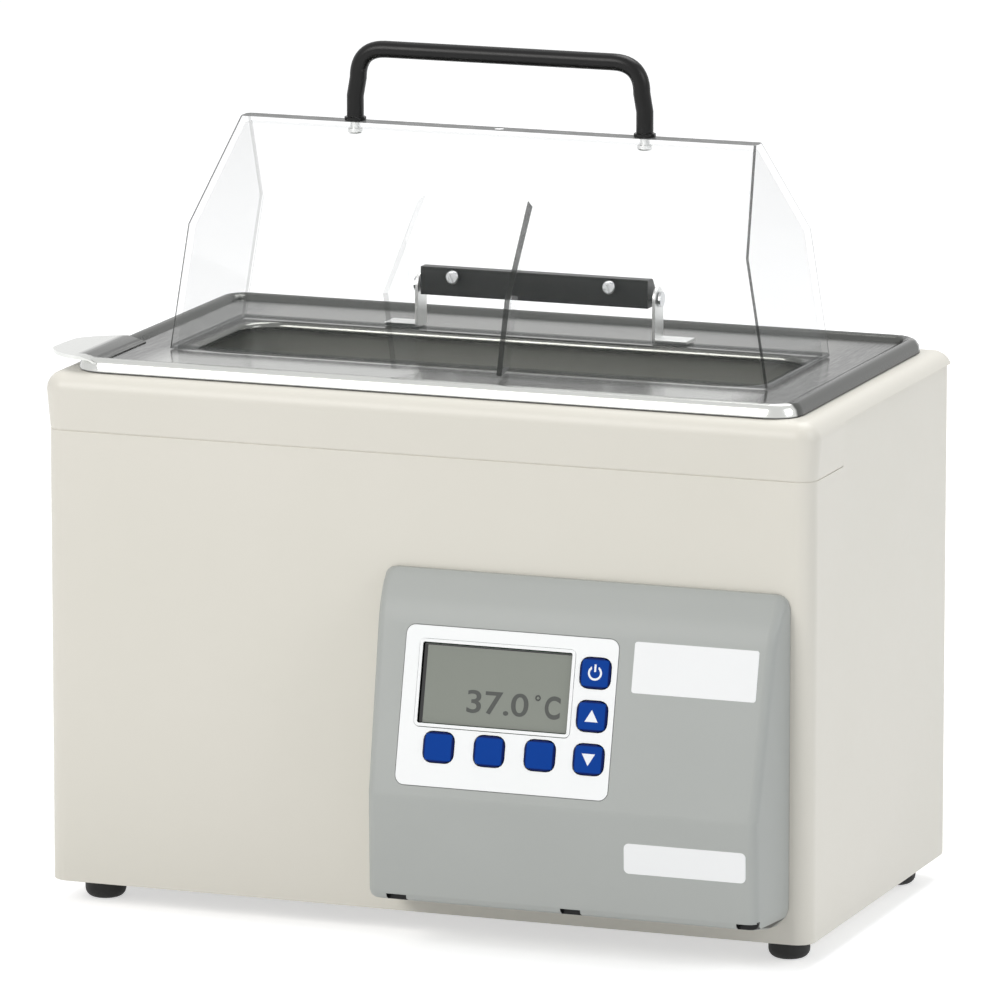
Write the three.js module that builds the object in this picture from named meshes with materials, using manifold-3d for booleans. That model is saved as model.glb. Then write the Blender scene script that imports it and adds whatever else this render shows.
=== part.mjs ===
// A bench water bath: a painted steel housing on four rubber feet, a pressed stainless
// tank whose deck rests on the top cover, a clear gable lid on a rear hinge, and a grey
// moulded console with a display and six keys. Millimetres, +Z up, front towards -Y.

import * as THREE from 'three';
import { mergeVertices } from 'three/addons/utils/BufferGeometryUtils.js';
import Module from 'manifold-3d';

const wasm = await Module();
wasm.setup();

// Overall sizes
const bodyWidth = 350;
const bodyDepth = 191;
const bodyHeight = 225;
const footHeight = 11;
const bodyCorner = 8;

// Shared clearances
const meet = 0.3;
const seam = 0.5;
const over = 1;
const leastCorner = 0.2;

// Painted sheet housing
const sheet = 1.2;
const rearFlange = 22;
const panFlange = 16;
const cableHoleInset = 75.4;
const cableHoleWidth = 60;
const cableHoleHeight = 26;
const cableHoleLift = 40;
const ventLength = 46;
const ventWidth = 4;
const ventPitch = 10;
const ventRows = 6;
const ventLift = 118;
const ventOffset = 84;
const panVentLength = 36;
const panVentPitch = 52;
const panVentsPerRow = 5;
const panVentInset = 17.5;
const panelScrewInset = 8;
const panelScrewLift = 24;
const panelScrewLength = 7;

// Top cover
const skirtDepth = 24.8;
const skirtReturn = 40;
const lipDepth = 5.5;
const coverFlare = 1.5;
const coverEdge = 8;
const coverWall = 2;
const coverFlange = 16;

// Tank, its deck and its pour lip
const steel = 1;
const deckInsetX = 10;
const deckInsetY = 5;
const deckCorner = 13;
const deckRise = 3.5;
const deckFall = 0.3;
const beadWidth = 8;
const beadRise = 6.2;
const grooveLevel = 2.7;
const grooveWidth = 0.8;
const grooveRamp = 0.8;
const ledgeX = 34;
const ledgeY = 52.5;
const openingCorner = 16;
const openingShift = -3;
const tankLift = 78.5;
const tankDraft = 1.5;
const floorCorner = 10;
const rollRadius = 2.5;
const lipRadius = 28;
const lipReach = 18;
const lipSetback = 28.5;
const lipThickness = 1.6;
const lipRoot = 12;
const lipStep = 0.4;
const lipNose = 3;
const lipDroop = 0.9;

// Gasket, heater, insulation and the bridges that carry them
const gasketWidth = 5;
const gasketInset = 10.7;
const matThickness = 2;
const matMargin = 12;
const woolThickness = 12;
const woolTop = 14;
const woolClearance = 0.6;
const bridgeWidth = 24;
const bridgeInset = 85;
const bridgeSpan = 120;
const bridgeFoot = 14;

// Feet
const footInsetX = 17;
const footInsetY = 23.5;
const footRadius = 9;
const footTread = 5;
const footStem = 3.6;
const footBarb = 4.8;
const footBarbHeight = 3;

// Clear gable lid
const lidWall = 3;
const lidLapX = 6.7;
const lidLapY = 4.5;
const foldInset = 8.9;
const ridgeInset = 18.6;
const lidFoldHeight = 55.4;
const lidHeight = 97.9;
const ridgeDepth = 10;
const lidCorner = 2.5;
const cheekThickness = 2.6;
const cheekReach = 22;
const cheekHalfGap = 19.4;
const cheekLeanShare = 0.115;
const cheekFlareShare = 0.2;
const cheekClimb = 13.8;
const cheekPass = 1.7;
const cheekLift = 2;
const gateRadius = 2;
const gateHeight = 0.6;

// Lid handle
const handleRadius = 3.75;
const handleSpacing = 133.5;
const handleRise = 32;
const handleSplay = 1.4;
const handleBend = 13;
const handleBore = 2.3;
const washerRadius = 4.8;
const washerHeight = 1.5;
const washerBore = 2.4;
const screwShank = 2;
const screwHead = 3.2;
const screwHeadHeight = 2.2;
const handleScrewDepth = 9;

// Lid hinge
const hingeLength = 106;
const hingeOffset = 6.8;
const hingeRise = 18.6;
const hingeBelow = 3.5;
const hingeAbove = 9;
const hingeBehind = 3.4;
const hingeEdge = 1;
const hingeScrewSpacing = 73;
const hingeScrewRise = 5.6;
const hingeScrewBite = 5;
const hingeScrewShank = 1.5;
const hingeScrewHead = 3;
const hingeScrewHeadHeight = 1.6;
const pinRadius = 2;
const pinBore = 2.3;
const pinHead = 3.4;
const pinHeadLength = 1.2;
const earThickness = 1.5;
const earGap = 1.6;
const earRadius = 5.5;
const earFoot = 16;

// Console
const consoleInset = 9.3;
const consoleWidth = 183.1;
const consoleTop = 151.5;
const consoleBottom = 6.5;
const consoleLedge = 2.2;
const consoleShoulder = 136.2;
const consoleShoulderReach = 14;
const consoleBrow = 58.5;
const consoleBrowReach = 32.5;
const consoleToe = 13;
const consoleToeReach = 31.3;
const consoleWall = 2.5;
const consoleDraft = 3.6;
const consoleCorner = 6;
const consoleLowCorner = 11;
const consoleEdge = 4.5;
const ledgeSoftness = 1.4;
const shoulderSoftness = 6;
const browSoftness = 1.5;
const toeSoftness = 3;
const notchWidth = 9;
const notchDepth = 4;
const notchHeight = 2.2;
const notchSpacing = 79;
const notchInset = 95.9;
const bossRadius = 4.2;
const bossInset = 3;
const bossHigh = 22;
const bossLow = 20;
const bossBore = 1.8;
const consoleScrewShank = 1.5;
const consoleScrewBite = 6;

// Keypad, display and keys, measured on the sloping face from its left and lower edges
const padLeft = 16.4;
const padRight = 112.4;
const padLow = 5.2;
const padHigh = 73.5;
const padCorner = 4;
const padThickness = 0.8;
const padRecess = 1;
const windowLeft = 24.4;
const windowRight = 91.8;
const windowLow = 31.9;
const windowHigh = 66.3;
const windowCorner = 0.8;
const bezelWall = 1.4;
const windowSet = 0.8;
const windowThickness = 1.2;
const displayMargin = 0.6;
const displayThickness = 3;
const keyWidth = 13.6;
const keyHeight = 13;
const keyCorner = 3.6;
const keyGap = 0.35;
const keyProud = 0.8;
const keyEdge = 0.4;
const keyFlange = 1;
const keyFlangeThickness = 0.9;
const keyStem = 2;
const keyTravel = 0.6;
const keyRowX = 35;
const keyPitch = 22.9;
const keyRowV = 22.1;
const keyColumnX = 102.8;
const keyColumnPitch = 18.3;
const boardThickness = 1.6;
const boardSet = 9;
const boardMargin = 1.5;
const postRadius = 1.2;
const postInset = 1.2;

// Rear inlet and main switch
const inletInset = 63;
const inletLift = 32;
const inletFlangeWidth = 50;
const inletFlangeHeight = 23;
const inletFlangeDepth = 3;
const inletBodyWidth = 28;
const inletBodyHeight = 20;
const inletBodyDepth = 24;
const socketWidth = 24.4;
const socketHeight = 16.6;
const socketDepth = 17;
const socketCorner = 3;
const bladeWidth = 2;
const bladeHeight = 4;
const bladeLength = 11;
const bladeSpacing = 7;
const bladeOffset = 2;
const bladePlate = 2.4;
const switchSpacing = 44;
const switchWidth = 13;
const switchHeight = 19;
const switchRim = 2.2;
const switchFlangeDepth = 2;
const switchBodyDepth = 15;
const switchWall = 1;
const rockerTiltAngle = 11;
const rockerRiseAngle = 27;
const rockerDipAngle = 22;

// Power board and what it carries
const powerBoardWidth = 150;
const powerBoardDepth = 96;
const powerBoardX = 40;
const powerBoardLift = 9;
const powerPostRadius = 3;
const powerPostInset = 7;
const coreWidth = 44;
const coreDepth = 36;
const coreHeight = 30;
const coilBulge = 7;
const coilWidth = 24;
const transformerX = 82;
const sinkWidth = 40;
const sinkDepth = 30;
const sinkHeight = 24;
const sinkBase = 3;
const sinkFin = 1.8;
const sinkFins = 6;
const sinkX = 24;
const relayWidth = 18;
const relayDepth = 22;
const relayHeight = 16;
const relayX = -14;
const cutoutRadius = 8;
const cutoutHeight = 7;
const cutoutX = 60;
const cutoutLift = 30;
const probeRadius = 3;
const probeLength = 34;
const probeX = -60;
const probeLift = 40;
const ribbonWidth = 22;
const ribbonThickness = 1;
const leadRadius = 2.4;
const leadBow = 26;
const leadLandY = 30;

// Places worked out from the sizes above
const halfWidth = bodyWidth / 2;
const halfDepth = bodyDepth / 2;
const bodyBottom = footHeight;
const coverTop = footHeight + bodyHeight;
const skirtBottom = coverTop - skirtDepth;
const deckTop = coverTop + deckRise;
const standLevel = deckTop + deckFall + meet;
const wrapBack = halfDepth - sheet - meet;
const panelOutside = wrapBack + meet + sheet;
const wrapTop = coverTop - lipDepth - seam;
const wrapFrontTop = skirtBottom - seam;
const returnY = skirtReturn - halfDepth;
const deckWidth = bodyWidth - deckInsetX * 2;
const deckDepth = bodyDepth - deckInsetY * 2;
const openingWidth = deckWidth - ledgeX * 2;
const openingDepth = deckDepth - ledgeY * 2;
const seatY = openingShift;
const tankFloor = bodyBottom + tankLift;
const tankUnderside = tankFloor - steel;
const matBottom = tankUnderside - meet - matThickness;
const jacketFloor = matBottom - meet;
const jacketBottom = jacketFloor - woolThickness;
const lidLength = openingWidth + lidLapX * 2;
const lidDepth = openingDepth + lidLapY * 2;
const lidFoldLength = lidLength - foldInset * 2;
const lidRidgeLength = lidLength - ridgeInset * 2;
const lidFront = seatY - lidDepth / 2;
const lidBack = seatY + lidDepth / 2;
const ridgeTop = standLevel + lidHeight;
const hingeY = lidBack + hingeOffset;
const hingeZ = standLevel + hingeRise;
const panFloorTop = bodyBottom + sheet;
const panelScrewX = halfWidth - bodyCorner - panelScrewInset;
const consoleBack = -halfDepth - meet;
const consoleRight = halfWidth - consoleInset;
const consoleLeft = consoleRight - consoleWidth;
const cableHoleX = consoleLeft + cableHoleInset;
const inletX = inletInset - halfWidth;
const inletZ = bodyBottom + inletLift;
const switchX = inletX + switchSpacing;
const powerBoardTop = panFloorTop + powerBoardLift + boardThickness;
const leadX = (sinkX + sinkWidth / 2 + transformerX - coreWidth / 2) / 2;

// Finishes
function finish(color, roughness, metalness) {
  return new THREE.MeshStandardMaterial({ color, roughness, metalness });
}

function clearFinish(color) {
  const material = finish(color, 0.08, 0);
  material.transparent = true;
  material.opacity = 0.3;
  return material;
}

const enamel = () => finish(0xdbd8cd, 0.45, 0.1);
const stainless = () => finish(0xb9bbba, 0.25, 1);
const greyPlastic = () => finish(0xa6aaab, 0.5, 0);
const whiteFilm = () => finish(0xf2f3f3, 0.4, 0);
const blueKey = () => finish(0x1e4fae, 0.4, 0);
const blackPlastic = () => finish(0x141414, 0.35, 0);
const rubber = () => finish(0x101010, 0.8, 0);
const clearPlastic = () => clearFinish(0xf2f6f5);
const displayGlass = () => finish(0x8b9284, 0.2, 0);
const circuitGreen = () => finish(0x1f5b38, 0.5, 0);
const mineralWool = () => finish(0xcfc49a, 0.95, 0);
const silicone = () => finish(0xb5552c, 0.7, 0);
const steelScrew = () => finish(0xc4c6c8, 0.3, 1);
const brassPart = () => finish(0xc9a455, 0.3, 1);
const aluminium = () => finish(0xa9adb0, 0.4, 1);
const leadGrey = () => finish(0x8a8d90, 0.6, 0);

// One level ring of points round a rounded rectangle, anticlockwise from above
function ring(halfX, halfY, radius, z, centreY = 0, steps = 4) {
  const r = Math.max(Math.min(radius, halfX, halfY), leastCorner);
  const points = [];
  const corners = [[1, 1], [-1, 1], [-1, -1], [1, -1]];
  corners.forEach(([signX, signY], corner) => {
    for (let step = 0; step <= steps; step += 1) {
      const angle = (corner + step / steps) * (Math.PI / 2);
      const x = signX * (halfX - r) + r * Math.cos(angle);
      const y = centreY + signY * (halfY - r) + r * Math.sin(angle);
      points.push(new THREE.Vector3(x, y, z));
    }
  });
  return points;
}

// A skin through rings of equal count: capped at both ends, or closed on itself
function loft(rings, closed = false) {
  const count = rings[0].length;
  const positions = rings.flat().flatMap((point) => point.toArray());
  const faces = [];
  const spans = closed ? rings.length : rings.length - 1;
  for (let row = 0; row < spans; row += 1) {
    const low = row * count;
    const high = ((row + 1) % rings.length) * count;
    for (let i = 0; i < count; i += 1) {
      const j = (i + 1) % count;
      faces.push(low + i, low + j, high + j, low + i, high + j, high + i);
    }
  }
  if (!closed) {
    const top = (rings.length - 1) * count;
    for (let i = 1; i < count - 1; i += 1) {
      faces.push(0, i + 1, i);
      faces.push(top, top + i, top + i + 1);
    }
  }
  const geometry = new THREE.BufferGeometry();
  geometry.setAttribute('position', new THREE.Float32BufferAttribute(positions, 3));
  geometry.setIndex(faces);
  return geometry;
}

// An open line of 2-D points moved sideways, to the right of its direction
function offsetLine(points, distance) {
  return points.map((point, index) => {
    const before = points[Math.max(index - 1, 0)];
    const after = points[Math.min(index + 1, points.length - 1)];
    const into = (index > 0 ? point.clone().sub(before) : after.clone().sub(point)).normalize();
    const away = (index < points.length - 1 ? after.clone().sub(point) : into.clone()).normalize();
    const sum = new THREE.Vector2(into.y + away.y, -into.x - away.x).normalize();
    const spread = sum.dot(new THREE.Vector2(into.y, -into.x));
    return point.clone().addScaledVector(sum, distance / spread);
  });
}

// A strip of even thickness to the right of a line, as an outline
function strip(points, thickness) {
  return new THREE.Shape([...points, ...offsetLine(points, thickness).reverse()]);
}

// A line with its inner corners rounded, each by a reach of its own
function soften(points, reaches, steps = 2) {
  return points.flatMap((point, index) => {
    if (!reaches[index]) {
      return [point];
    }
    const start = points[index - 1].clone().sub(point).setLength(reaches[index]).add(point);
    const end = points[index + 1].clone().sub(point).setLength(reaches[index]).add(point);
    return new THREE.QuadraticBezierCurve(start, point, end).getPoints(steps);
  });
}

// Points of an arc in a plane, from one angle to another
function arc(centreX, centreY, radiusX, radiusY, from, to, steps) {
  const points = [];
  for (let step = 0; step <= steps; step += 1) {
    const angle = from + (to - from) * (step / steps);
    const x = centreX + radiusX * Math.cos(angle);
    const y = centreY + radiusY * Math.sin(angle);
    points.push(new THREE.Vector2(x, y));
  }
  return points;
}

// Joins and cuts
function solid(geometry) {
  const bare = geometry.clone();
  bare.deleteAttribute('normal');
  bare.deleteAttribute('uv');
  const merged = mergeVertices(bare);
  const mesh = new wasm.Mesh({
    numProp: 3,
    vertProperties: new Float32Array(merged.attributes.position.array),
    triVerts: new Uint32Array(merged.index.array),
  });
  return new wasm.Manifold(mesh);
}

function geometryOf(body) {
  const mesh = body.getMesh();
  const geometry = new THREE.BufferGeometry();
  const positions = new Float32Array(mesh.vertProperties);
  geometry.setAttribute('position', new THREE.BufferAttribute(positions, 3));
  geometry.setIndex(new THREE.BufferAttribute(new Uint32Array(mesh.triVerts), 1));
  return geometry;
}

function join(first, ...others) {
  return geometryOf(others.reduce((body, tool) => body.add(solid(tool)), solid(first)));
}

function cut(first, ...tools) {
  return geometryOf(tools.reduce((body, tool) => body.subtract(solid(tool)), solid(first)));
}

function common(first, second) {
  return geometryOf(solid(first).intersect(solid(second)));
}

// Plain building blocks, given by their limits
function slab(x0, x1, y0, y1, z0, z1) {
  const geometry = new THREE.BoxGeometry(x1 - x0, y1 - y0, z1 - z0);
  return geometry.translate((x0 + x1) / 2, (y0 + y1) / 2, (z0 + z1) / 2);
}

function rodZ(radius, x, y, z0, z1, sides = 12) {
  const geometry = new THREE.CylinderGeometry(radius, radius, z1 - z0, sides);
  return geometry.rotateX(Math.PI / 2).translate(x, y, (z0 + z1) / 2);
}

function rodY(radius, x, y0, y1, z, sides = 12) {
  const geometry = new THREE.CylinderGeometry(radius, radius, y1 - y0, sides);
  return geometry.translate(x, (y0 + y1) / 2, z);
}

function rodX(radius, x0, x1, y, z, sides = 12) {
  const geometry = new THREE.CylinderGeometry(radius, radius, x1 - x0, sides);
  return geometry.rotateZ(Math.PI / 2).translate((x0 + x1) / 2, y, z);
}

// A rounded rectangle as an outline, by its limits
function roundedShape(x0, x1, y0, y1, radius) {
  const r = Math.min(radius, (x1 - x0) / 2, (y1 - y0) / 2);
  const shape = new THREE.Shape();
  shape.absarc(x1 - r, y0 + r, r, -Math.PI / 2, 0, false);
  shape.absarc(x1 - r, y1 - r, r, 0, Math.PI / 2, false);
  shape.absarc(x0 + r, y1 - r, r, Math.PI / 2, Math.PI, false);
  shape.absarc(x0 + r, y0 + r, r, Math.PI, Math.PI * 1.5, false);
  return shape;
}

function extrude(shape, depth, curveSegments = 3) {
  return new THREE.ExtrudeGeometry(shape, { depth, bevelEnabled: false, curveSegments });
}

// A level outline drawn as (x, y), between two heights
function alongZ(shape, z0, z1, curveSegments = 3) {
  return extrude(shape, z1 - z0, curveSegments).translate(0, 0, z0);
}

// An outline drawn as (y, z), pushed along X between two limits
function alongX(shape, x0, x1, curveSegments = 3) {
  const geometry = extrude(shape, x1 - x0, curveSegments);
  return geometry.rotateX(Math.PI / 2).rotateZ(Math.PI / 2).translate(x0, 0, 0);
}

// An outline drawn as (x, z), pushed along Y between two limits
function alongY(shape, y0, y1, curveSegments = 3) {
  return extrude(shape, y1 - y0, curveSegments).rotateX(Math.PI / 2).translate(0, y1, 0);
}

// A tube along a path
function tube(path, radius, steps, sides) {
  const section = new THREE.Shape();
  section.setFromPoints(arc(0, 0, radius, radius, 0, Math.PI * 2, sides).slice(0, sides));
  return new THREE.ExtrudeGeometry(section, { steps, extrudePath: path });
}

const bath = new THREE.Group();

function place(name, geometry, material, parent = bath) {
  const mesh = new THREE.Mesh(geometry, material);
  mesh.name = name;
  parent.add(mesh);
  return mesh;
}

// Base pan: a tray with upturned flanges, air slots and a hole for each foot
const footPlaces = {
  front_left: [-1, -1],
  front_right: [1, -1],
  rear_left: [-1, 1],
  rear_right: [1, 1],
};

function footCentre([signX, signY]) {
  return [signX * (halfWidth - footInsetX), signY * (halfDepth - footInsetY)];
}

function addBasePan() {
  const halfX = halfWidth - sheet - meet;
  const halfY = (wrapBack + halfDepth) / 2 - sheet - meet;
  const centreY = (wrapBack - halfDepth) / 2;
  const corner = bodyCorner - sheet;
  const rim = bodyBottom + panFlange;
  const tray = loft([
    ring(halfX, halfY, corner, bodyBottom, centreY),
    ring(halfX, halfY, corner, rim, centreY),
    ring(halfX - sheet, halfY - sheet, corner - sheet, rim, centreY),
    ring(halfX - sheet, halfY - sheet, corner - sheet, panFloorTop, centreY),
  ]);
  const holes = Object.values(footPlaces).map((signs) => {
    const [x, y] = footCentre(signs);
    return rodZ(footStem + meet, x, y, bodyBottom - over, panFloorTop + over);
  });
  const slots = [];
  for (const side of [-1, 1]) {
    for (let i = 0; i < panVentsPerRow; i += 1) {
      const x = (i - (panVentsPerRow - 1) / 2) * panVentPitch;
      const y = side * (halfDepth - panVentInset);
      const left = x - panVentLength / 2;
      const front = y - ventWidth / 2;
      const slot = roundedShape(left, left + panVentLength, front, front + ventWidth, ventWidth / 2);
      slots.push(alongZ(slot, bodyBottom - over, panFloorTop + over, 2));
    }
  }
  place('base_pan', cut(tray, ...holes, ...slots), enamel());
}

// Rubber feet, each pressed through the pan and held by its barb
function addFeet() {
  const neck = panFloorTop + meet;
  const bulge = footRadius - footTread;
  const profile = [
    new THREE.Vector2(0, 0),
    ...arc(footTread, bulge, bulge, bulge, -Math.PI / 2, 0, 3),
    new THREE.Vector2(footRadius, footHeight - meet),
    new THREE.Vector2(footStem, footHeight - meet),
    new THREE.Vector2(footStem, neck),
    new THREE.Vector2(footBarb, neck),
    new THREE.Vector2(footStem / 2, neck + footBarbHeight),
    new THREE.Vector2(0, neck + footBarbHeight),
  ];
  for (const [name, signs] of Object.entries(footPlaces)) {
    const [x, y] = footCentre(signs);
    const foot = new THREE.LatheGeometry(profile, 14).rotateX(Math.PI / 2);
    place(`foot_${name}`, foot, rubber()).position.set(x, y, 0);
  }
}

// Housing: front and sides bent from one sheet, flanged at the back
const consoleBosses = {
  upper_left: [consoleLeft + consoleCorner + bossInset, consoleTop - bossHigh],
  upper_right: [consoleRight - consoleCorner - bossInset, consoleTop - bossHigh],
  lower_left: [consoleLeft + consoleLowCorner + bossInset, consoleBottom + bossLow],
  lower_right: [consoleRight - consoleLowCorner - bossInset, consoleBottom + bossLow],
};

function panelScrewPlaces() {
  const low = bodyBottom + panelScrewLift;
  const high = wrapTop - panelScrewLift;
  return [[-panelScrewX, low], [panelScrewX, low], [-panelScrewX, high], [panelScrewX, high]];
}

function addHousingWrap() {
  const halfY = (wrapBack + halfDepth) / 2;
  const centreY = (wrapBack - halfDepth) / 2;
  const corner = bodyCorner - sheet;
  const skin = loft([
    ring(halfWidth, halfY, bodyCorner, bodyBottom, centreY),
    ring(halfWidth, halfY, bodyCorner, wrapTop, centreY),
    ring(halfWidth - sheet, halfY - sheet, corner, wrapTop, centreY),
    ring(halfWidth - sheet, halfY - sheet, corner, bodyBottom, centreY),
  ], true);
  const gapHalf = halfWidth - rearFlange;
  const rearGap = slab(
    -gapHalf, gapHalf, wrapBack - sheet - over, wrapBack + over, bodyBottom - over, wrapTop + over,
  );
  const frontStep = slab(
    -halfWidth - over, halfWidth + over, -halfDepth - over, returnY + seam, wrapFrontTop, wrapTop + over,
  );
  const cableZ = bodyBottom + cableHoleLift;
  const cableHole = alongY(
    roundedShape(
      cableHoleX - cableHoleWidth / 2, cableHoleX + cableHoleWidth / 2,
      cableZ - cableHoleHeight / 2, cableZ + cableHoleHeight / 2, bodyCorner / 2,
    ),
    -halfDepth - over, -halfDepth + sheet + over,
  );
  const bossHoles = Object.values(consoleBosses).map(([x, height]) => rodY(
    bossBore, x, -halfDepth - over, -halfDepth + sheet + over, bodyBottom + height, 8,
  ));
  const flangeHoles = panelScrewPlaces().map(([x, z]) => rodY(
    screwShank + meet, x, wrapBack - sheet - over, wrapBack + over, z, 10,
  ));
  const housing = cut(skin, rearGap, frontStep, cableHole, ...bossHoles, ...flangeHoles);
  place('housing_wrap', housing, enamel());
}

// Back panel with two fields of air slots and cut-outs for the inlet and main switch
function addBackPanel() {
  const half = halfWidth - bodyCorner - seam;
  const y0 = wrapBack + meet;
  const y1 = panelOutside;
  const panel = slab(-half, half, y0, y1, bodyBottom, wrapTop);
  const through = (x, width, height) => slab(
    x - width / 2 - meet, x + width / 2 + meet, y0 - over, y1 + over,
    inletZ - height / 2 - meet, inletZ + height / 2 + meet,
  );
  const cuts = [
    through(inletX, inletBodyWidth, inletBodyHeight),
    through(switchX, switchWidth, switchHeight),
  ];
  for (const side of [-1, 1]) {
    for (let i = 0; i < ventRows; i += 1) {
      const left = side * ventOffset - ventLength / 2;
      const low = bodyBottom + ventLift + i * ventPitch - ventWidth / 2;
      const slot = roundedShape(left, left + ventLength, low, low + ventWidth, ventWidth / 2);
      cuts.push(alongY(slot, y0 - over, y1 + over, 2));
    }
  }
  panelScrewPlaces().forEach(([x, z]) => {
    cuts.push(rodY(screwShank + meet, x, y0 - over, y1 + over, z, 10));
  });
  place('back_panel', cut(panel, ...cuts), enamel());
  panelScrewPlaces().forEach(([x, z], index) => {
    const screw = join(
      rodY(screwShank, x, y1 - panelScrewLength, y1 + meet + screwHeadHeight / 2, z, 10),
      rodY(screwHead, x, y1 + meet, y1 + meet + screwHeadHeight, z, 10),
    );
    place(`panel_screw_${index + 1}`, screw, steelScrew());
  });
}

// Top cover: a deep skirt in front that returns round the corners, a thin lip elsewhere
function addTopCover() {
  const section = [
    new THREE.Vector2(0, skirtBottom),
    ...arc(coverEdge - coverFlare, coverTop - coverEdge, coverEdge, coverEdge, Math.PI, Math.PI / 2, 5),
  ];
  const inner = offsetLine(section, coverWall);
  inner[0].setY(skirtBottom);
  const sectionRing = ({ x: inset, y: z }) => ring(
    halfWidth - inset, halfDepth - inset, bodyCorner - inset, z,
  );
  const mouthX = deckWidth / 2 - coverFlange;
  const mouthY = deckDepth / 2 - coverFlange;
  const shell = loft([
    ...section.map(sectionRing),
    ring(mouthX, mouthY, bodyCorner, coverTop),
    ring(mouthX, mouthY, bodyCorner, coverTop - coverWall),
    ...inner.reverse().map(sectionRing),
  ], true);
  const reach = halfWidth + coverFlare + over;
  const back = halfDepth + coverFlare + over;
  const relief = slab(-reach, reach, returnY, back, skirtBottom - over, coverTop - lipDepth);
  place('top_cover', cut(shell, relief), enamel());
}

// Tank: a pressed bowl, its deck and the rolled bead round the deck in one sheet
function beadSection() {
  const crest = beadWidth / 2;
  const foot = coverTop + meet;
  const groove = coverTop + grooveLevel;
  return [
    ...arc(crest, foot, crest, beadRise - meet, Math.PI, Math.PI / 2, 3),
    ...arc(crest, groove, crest, beadRise - grooveLevel, Math.PI / 2, 0, 2).slice(1),
    new THREE.Vector2(beadWidth + grooveWidth, groove),
    new THREE.Vector2(beadWidth + grooveWidth + grooveRamp, deckTop + deckFall),
  ];
}

// How far the bowl's wall lies outside the opening's own size at a height
function wallOffset(z) {
  const top = deckTop - rollRadius;
  const bottom = tankFloor + floorCorner;
  return -tankDraft * ((top - z) / (top - bottom));
}

function pourLip() {
  const edge = -deckWidth / 2;
  const crest = coverTop + beadRise;
  const tip = edge - lipReach;
  const outline = new THREE.Shape([
    new THREE.Vector2(edge + lipRoot, deckTop - steel / 2),
    new THREE.Vector2(edge + lipRoot, deckTop + deckFall + lipStep),
    new THREE.Vector2(edge + beadWidth / 2, crest + lipStep),
    new THREE.Vector2(tip + lipNose, crest + lipStep),
    new THREE.Vector2(tip, crest + lipStep - lipDroop),
    new THREE.Vector2(tip, crest + lipStep - lipDroop - lipThickness),
    new THREE.Vector2(tip + lipNose, crest + lipStep - lipThickness),
    new THREE.Vector2(edge + beadWidth, crest + lipStep - lipThickness),
  ]);
  const centreX = tip + lipRadius;
  const centreY = lipSetback - deckDepth / 2;
  const band = alongY(outline, centreY - lipRadius - over, centreY + lipRadius + over);
  return common(band, rodZ(lipRadius, centreX, centreY, deckTop - lipRadius, crest + lipRadius, 32));
}

function addTank() {
  const deckRing = ({ x: inset, y: z }) => ring(
    deckWidth / 2 - inset, deckDepth / 2 - inset, deckCorner - inset, z,
  );
  const openingRing = ({ x: offset, y: z }) => ring(
    openingWidth / 2 + offset, openingDepth / 2 + offset, openingCorner + offset, z, openingShift,
  );
  const bead = beadSection();
  const beadUnder = offsetLine(bead, steel);
  beadUnder[0].setY(bead[0].y);
  beadUnder[beadUnder.length - 1].setY(deckTop + deckFall - steel);
  const rollZ = deckTop - rollRadius;
  const roll = (radius) => arc(rollRadius, rollZ, radius, radius, Math.PI / 2, Math.PI, 3);
  const bend = (radius, offset) => arc(
    offset - radius, tankFloor + floorCorner, radius, radius, 0, -Math.PI / 2, 3,
  );
  const inside = [...roll(rollRadius), ...bend(floorCorner, -tankDraft)];
  const outside = [...roll(rollRadius - steel), ...bend(floorCorner + steel, steel - tankDraft)];
  const bowl = loft([
    ...outside.reverse().map(openingRing),
    ...beadUnder.reverse().map(deckRing),
    ...bead.map(deckRing),
    ...inside.map(openingRing),
  ]);
  place('tank', join(bowl, pourLip()), stainless());
}

function addGasket() {
  const half = (inset) => [deckWidth / 2 - inset, deckDepth / 2 - inset];
  const outer = half(gasketInset);
  const inner = half(gasketInset + gasketWidth);
  const low = coverTop + meet;
  const high = deckTop - steel - meet;
  const seal = loft([
    ring(...outer, deckCorner - gasketInset, low),
    ring(...outer, deckCorner - gasketInset, high),
    ring(...inner, leastCorner, high),
    ring(...inner, leastCorner, low),
  ], true);
  place('tank_gasket', seal, silicone());
}

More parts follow.
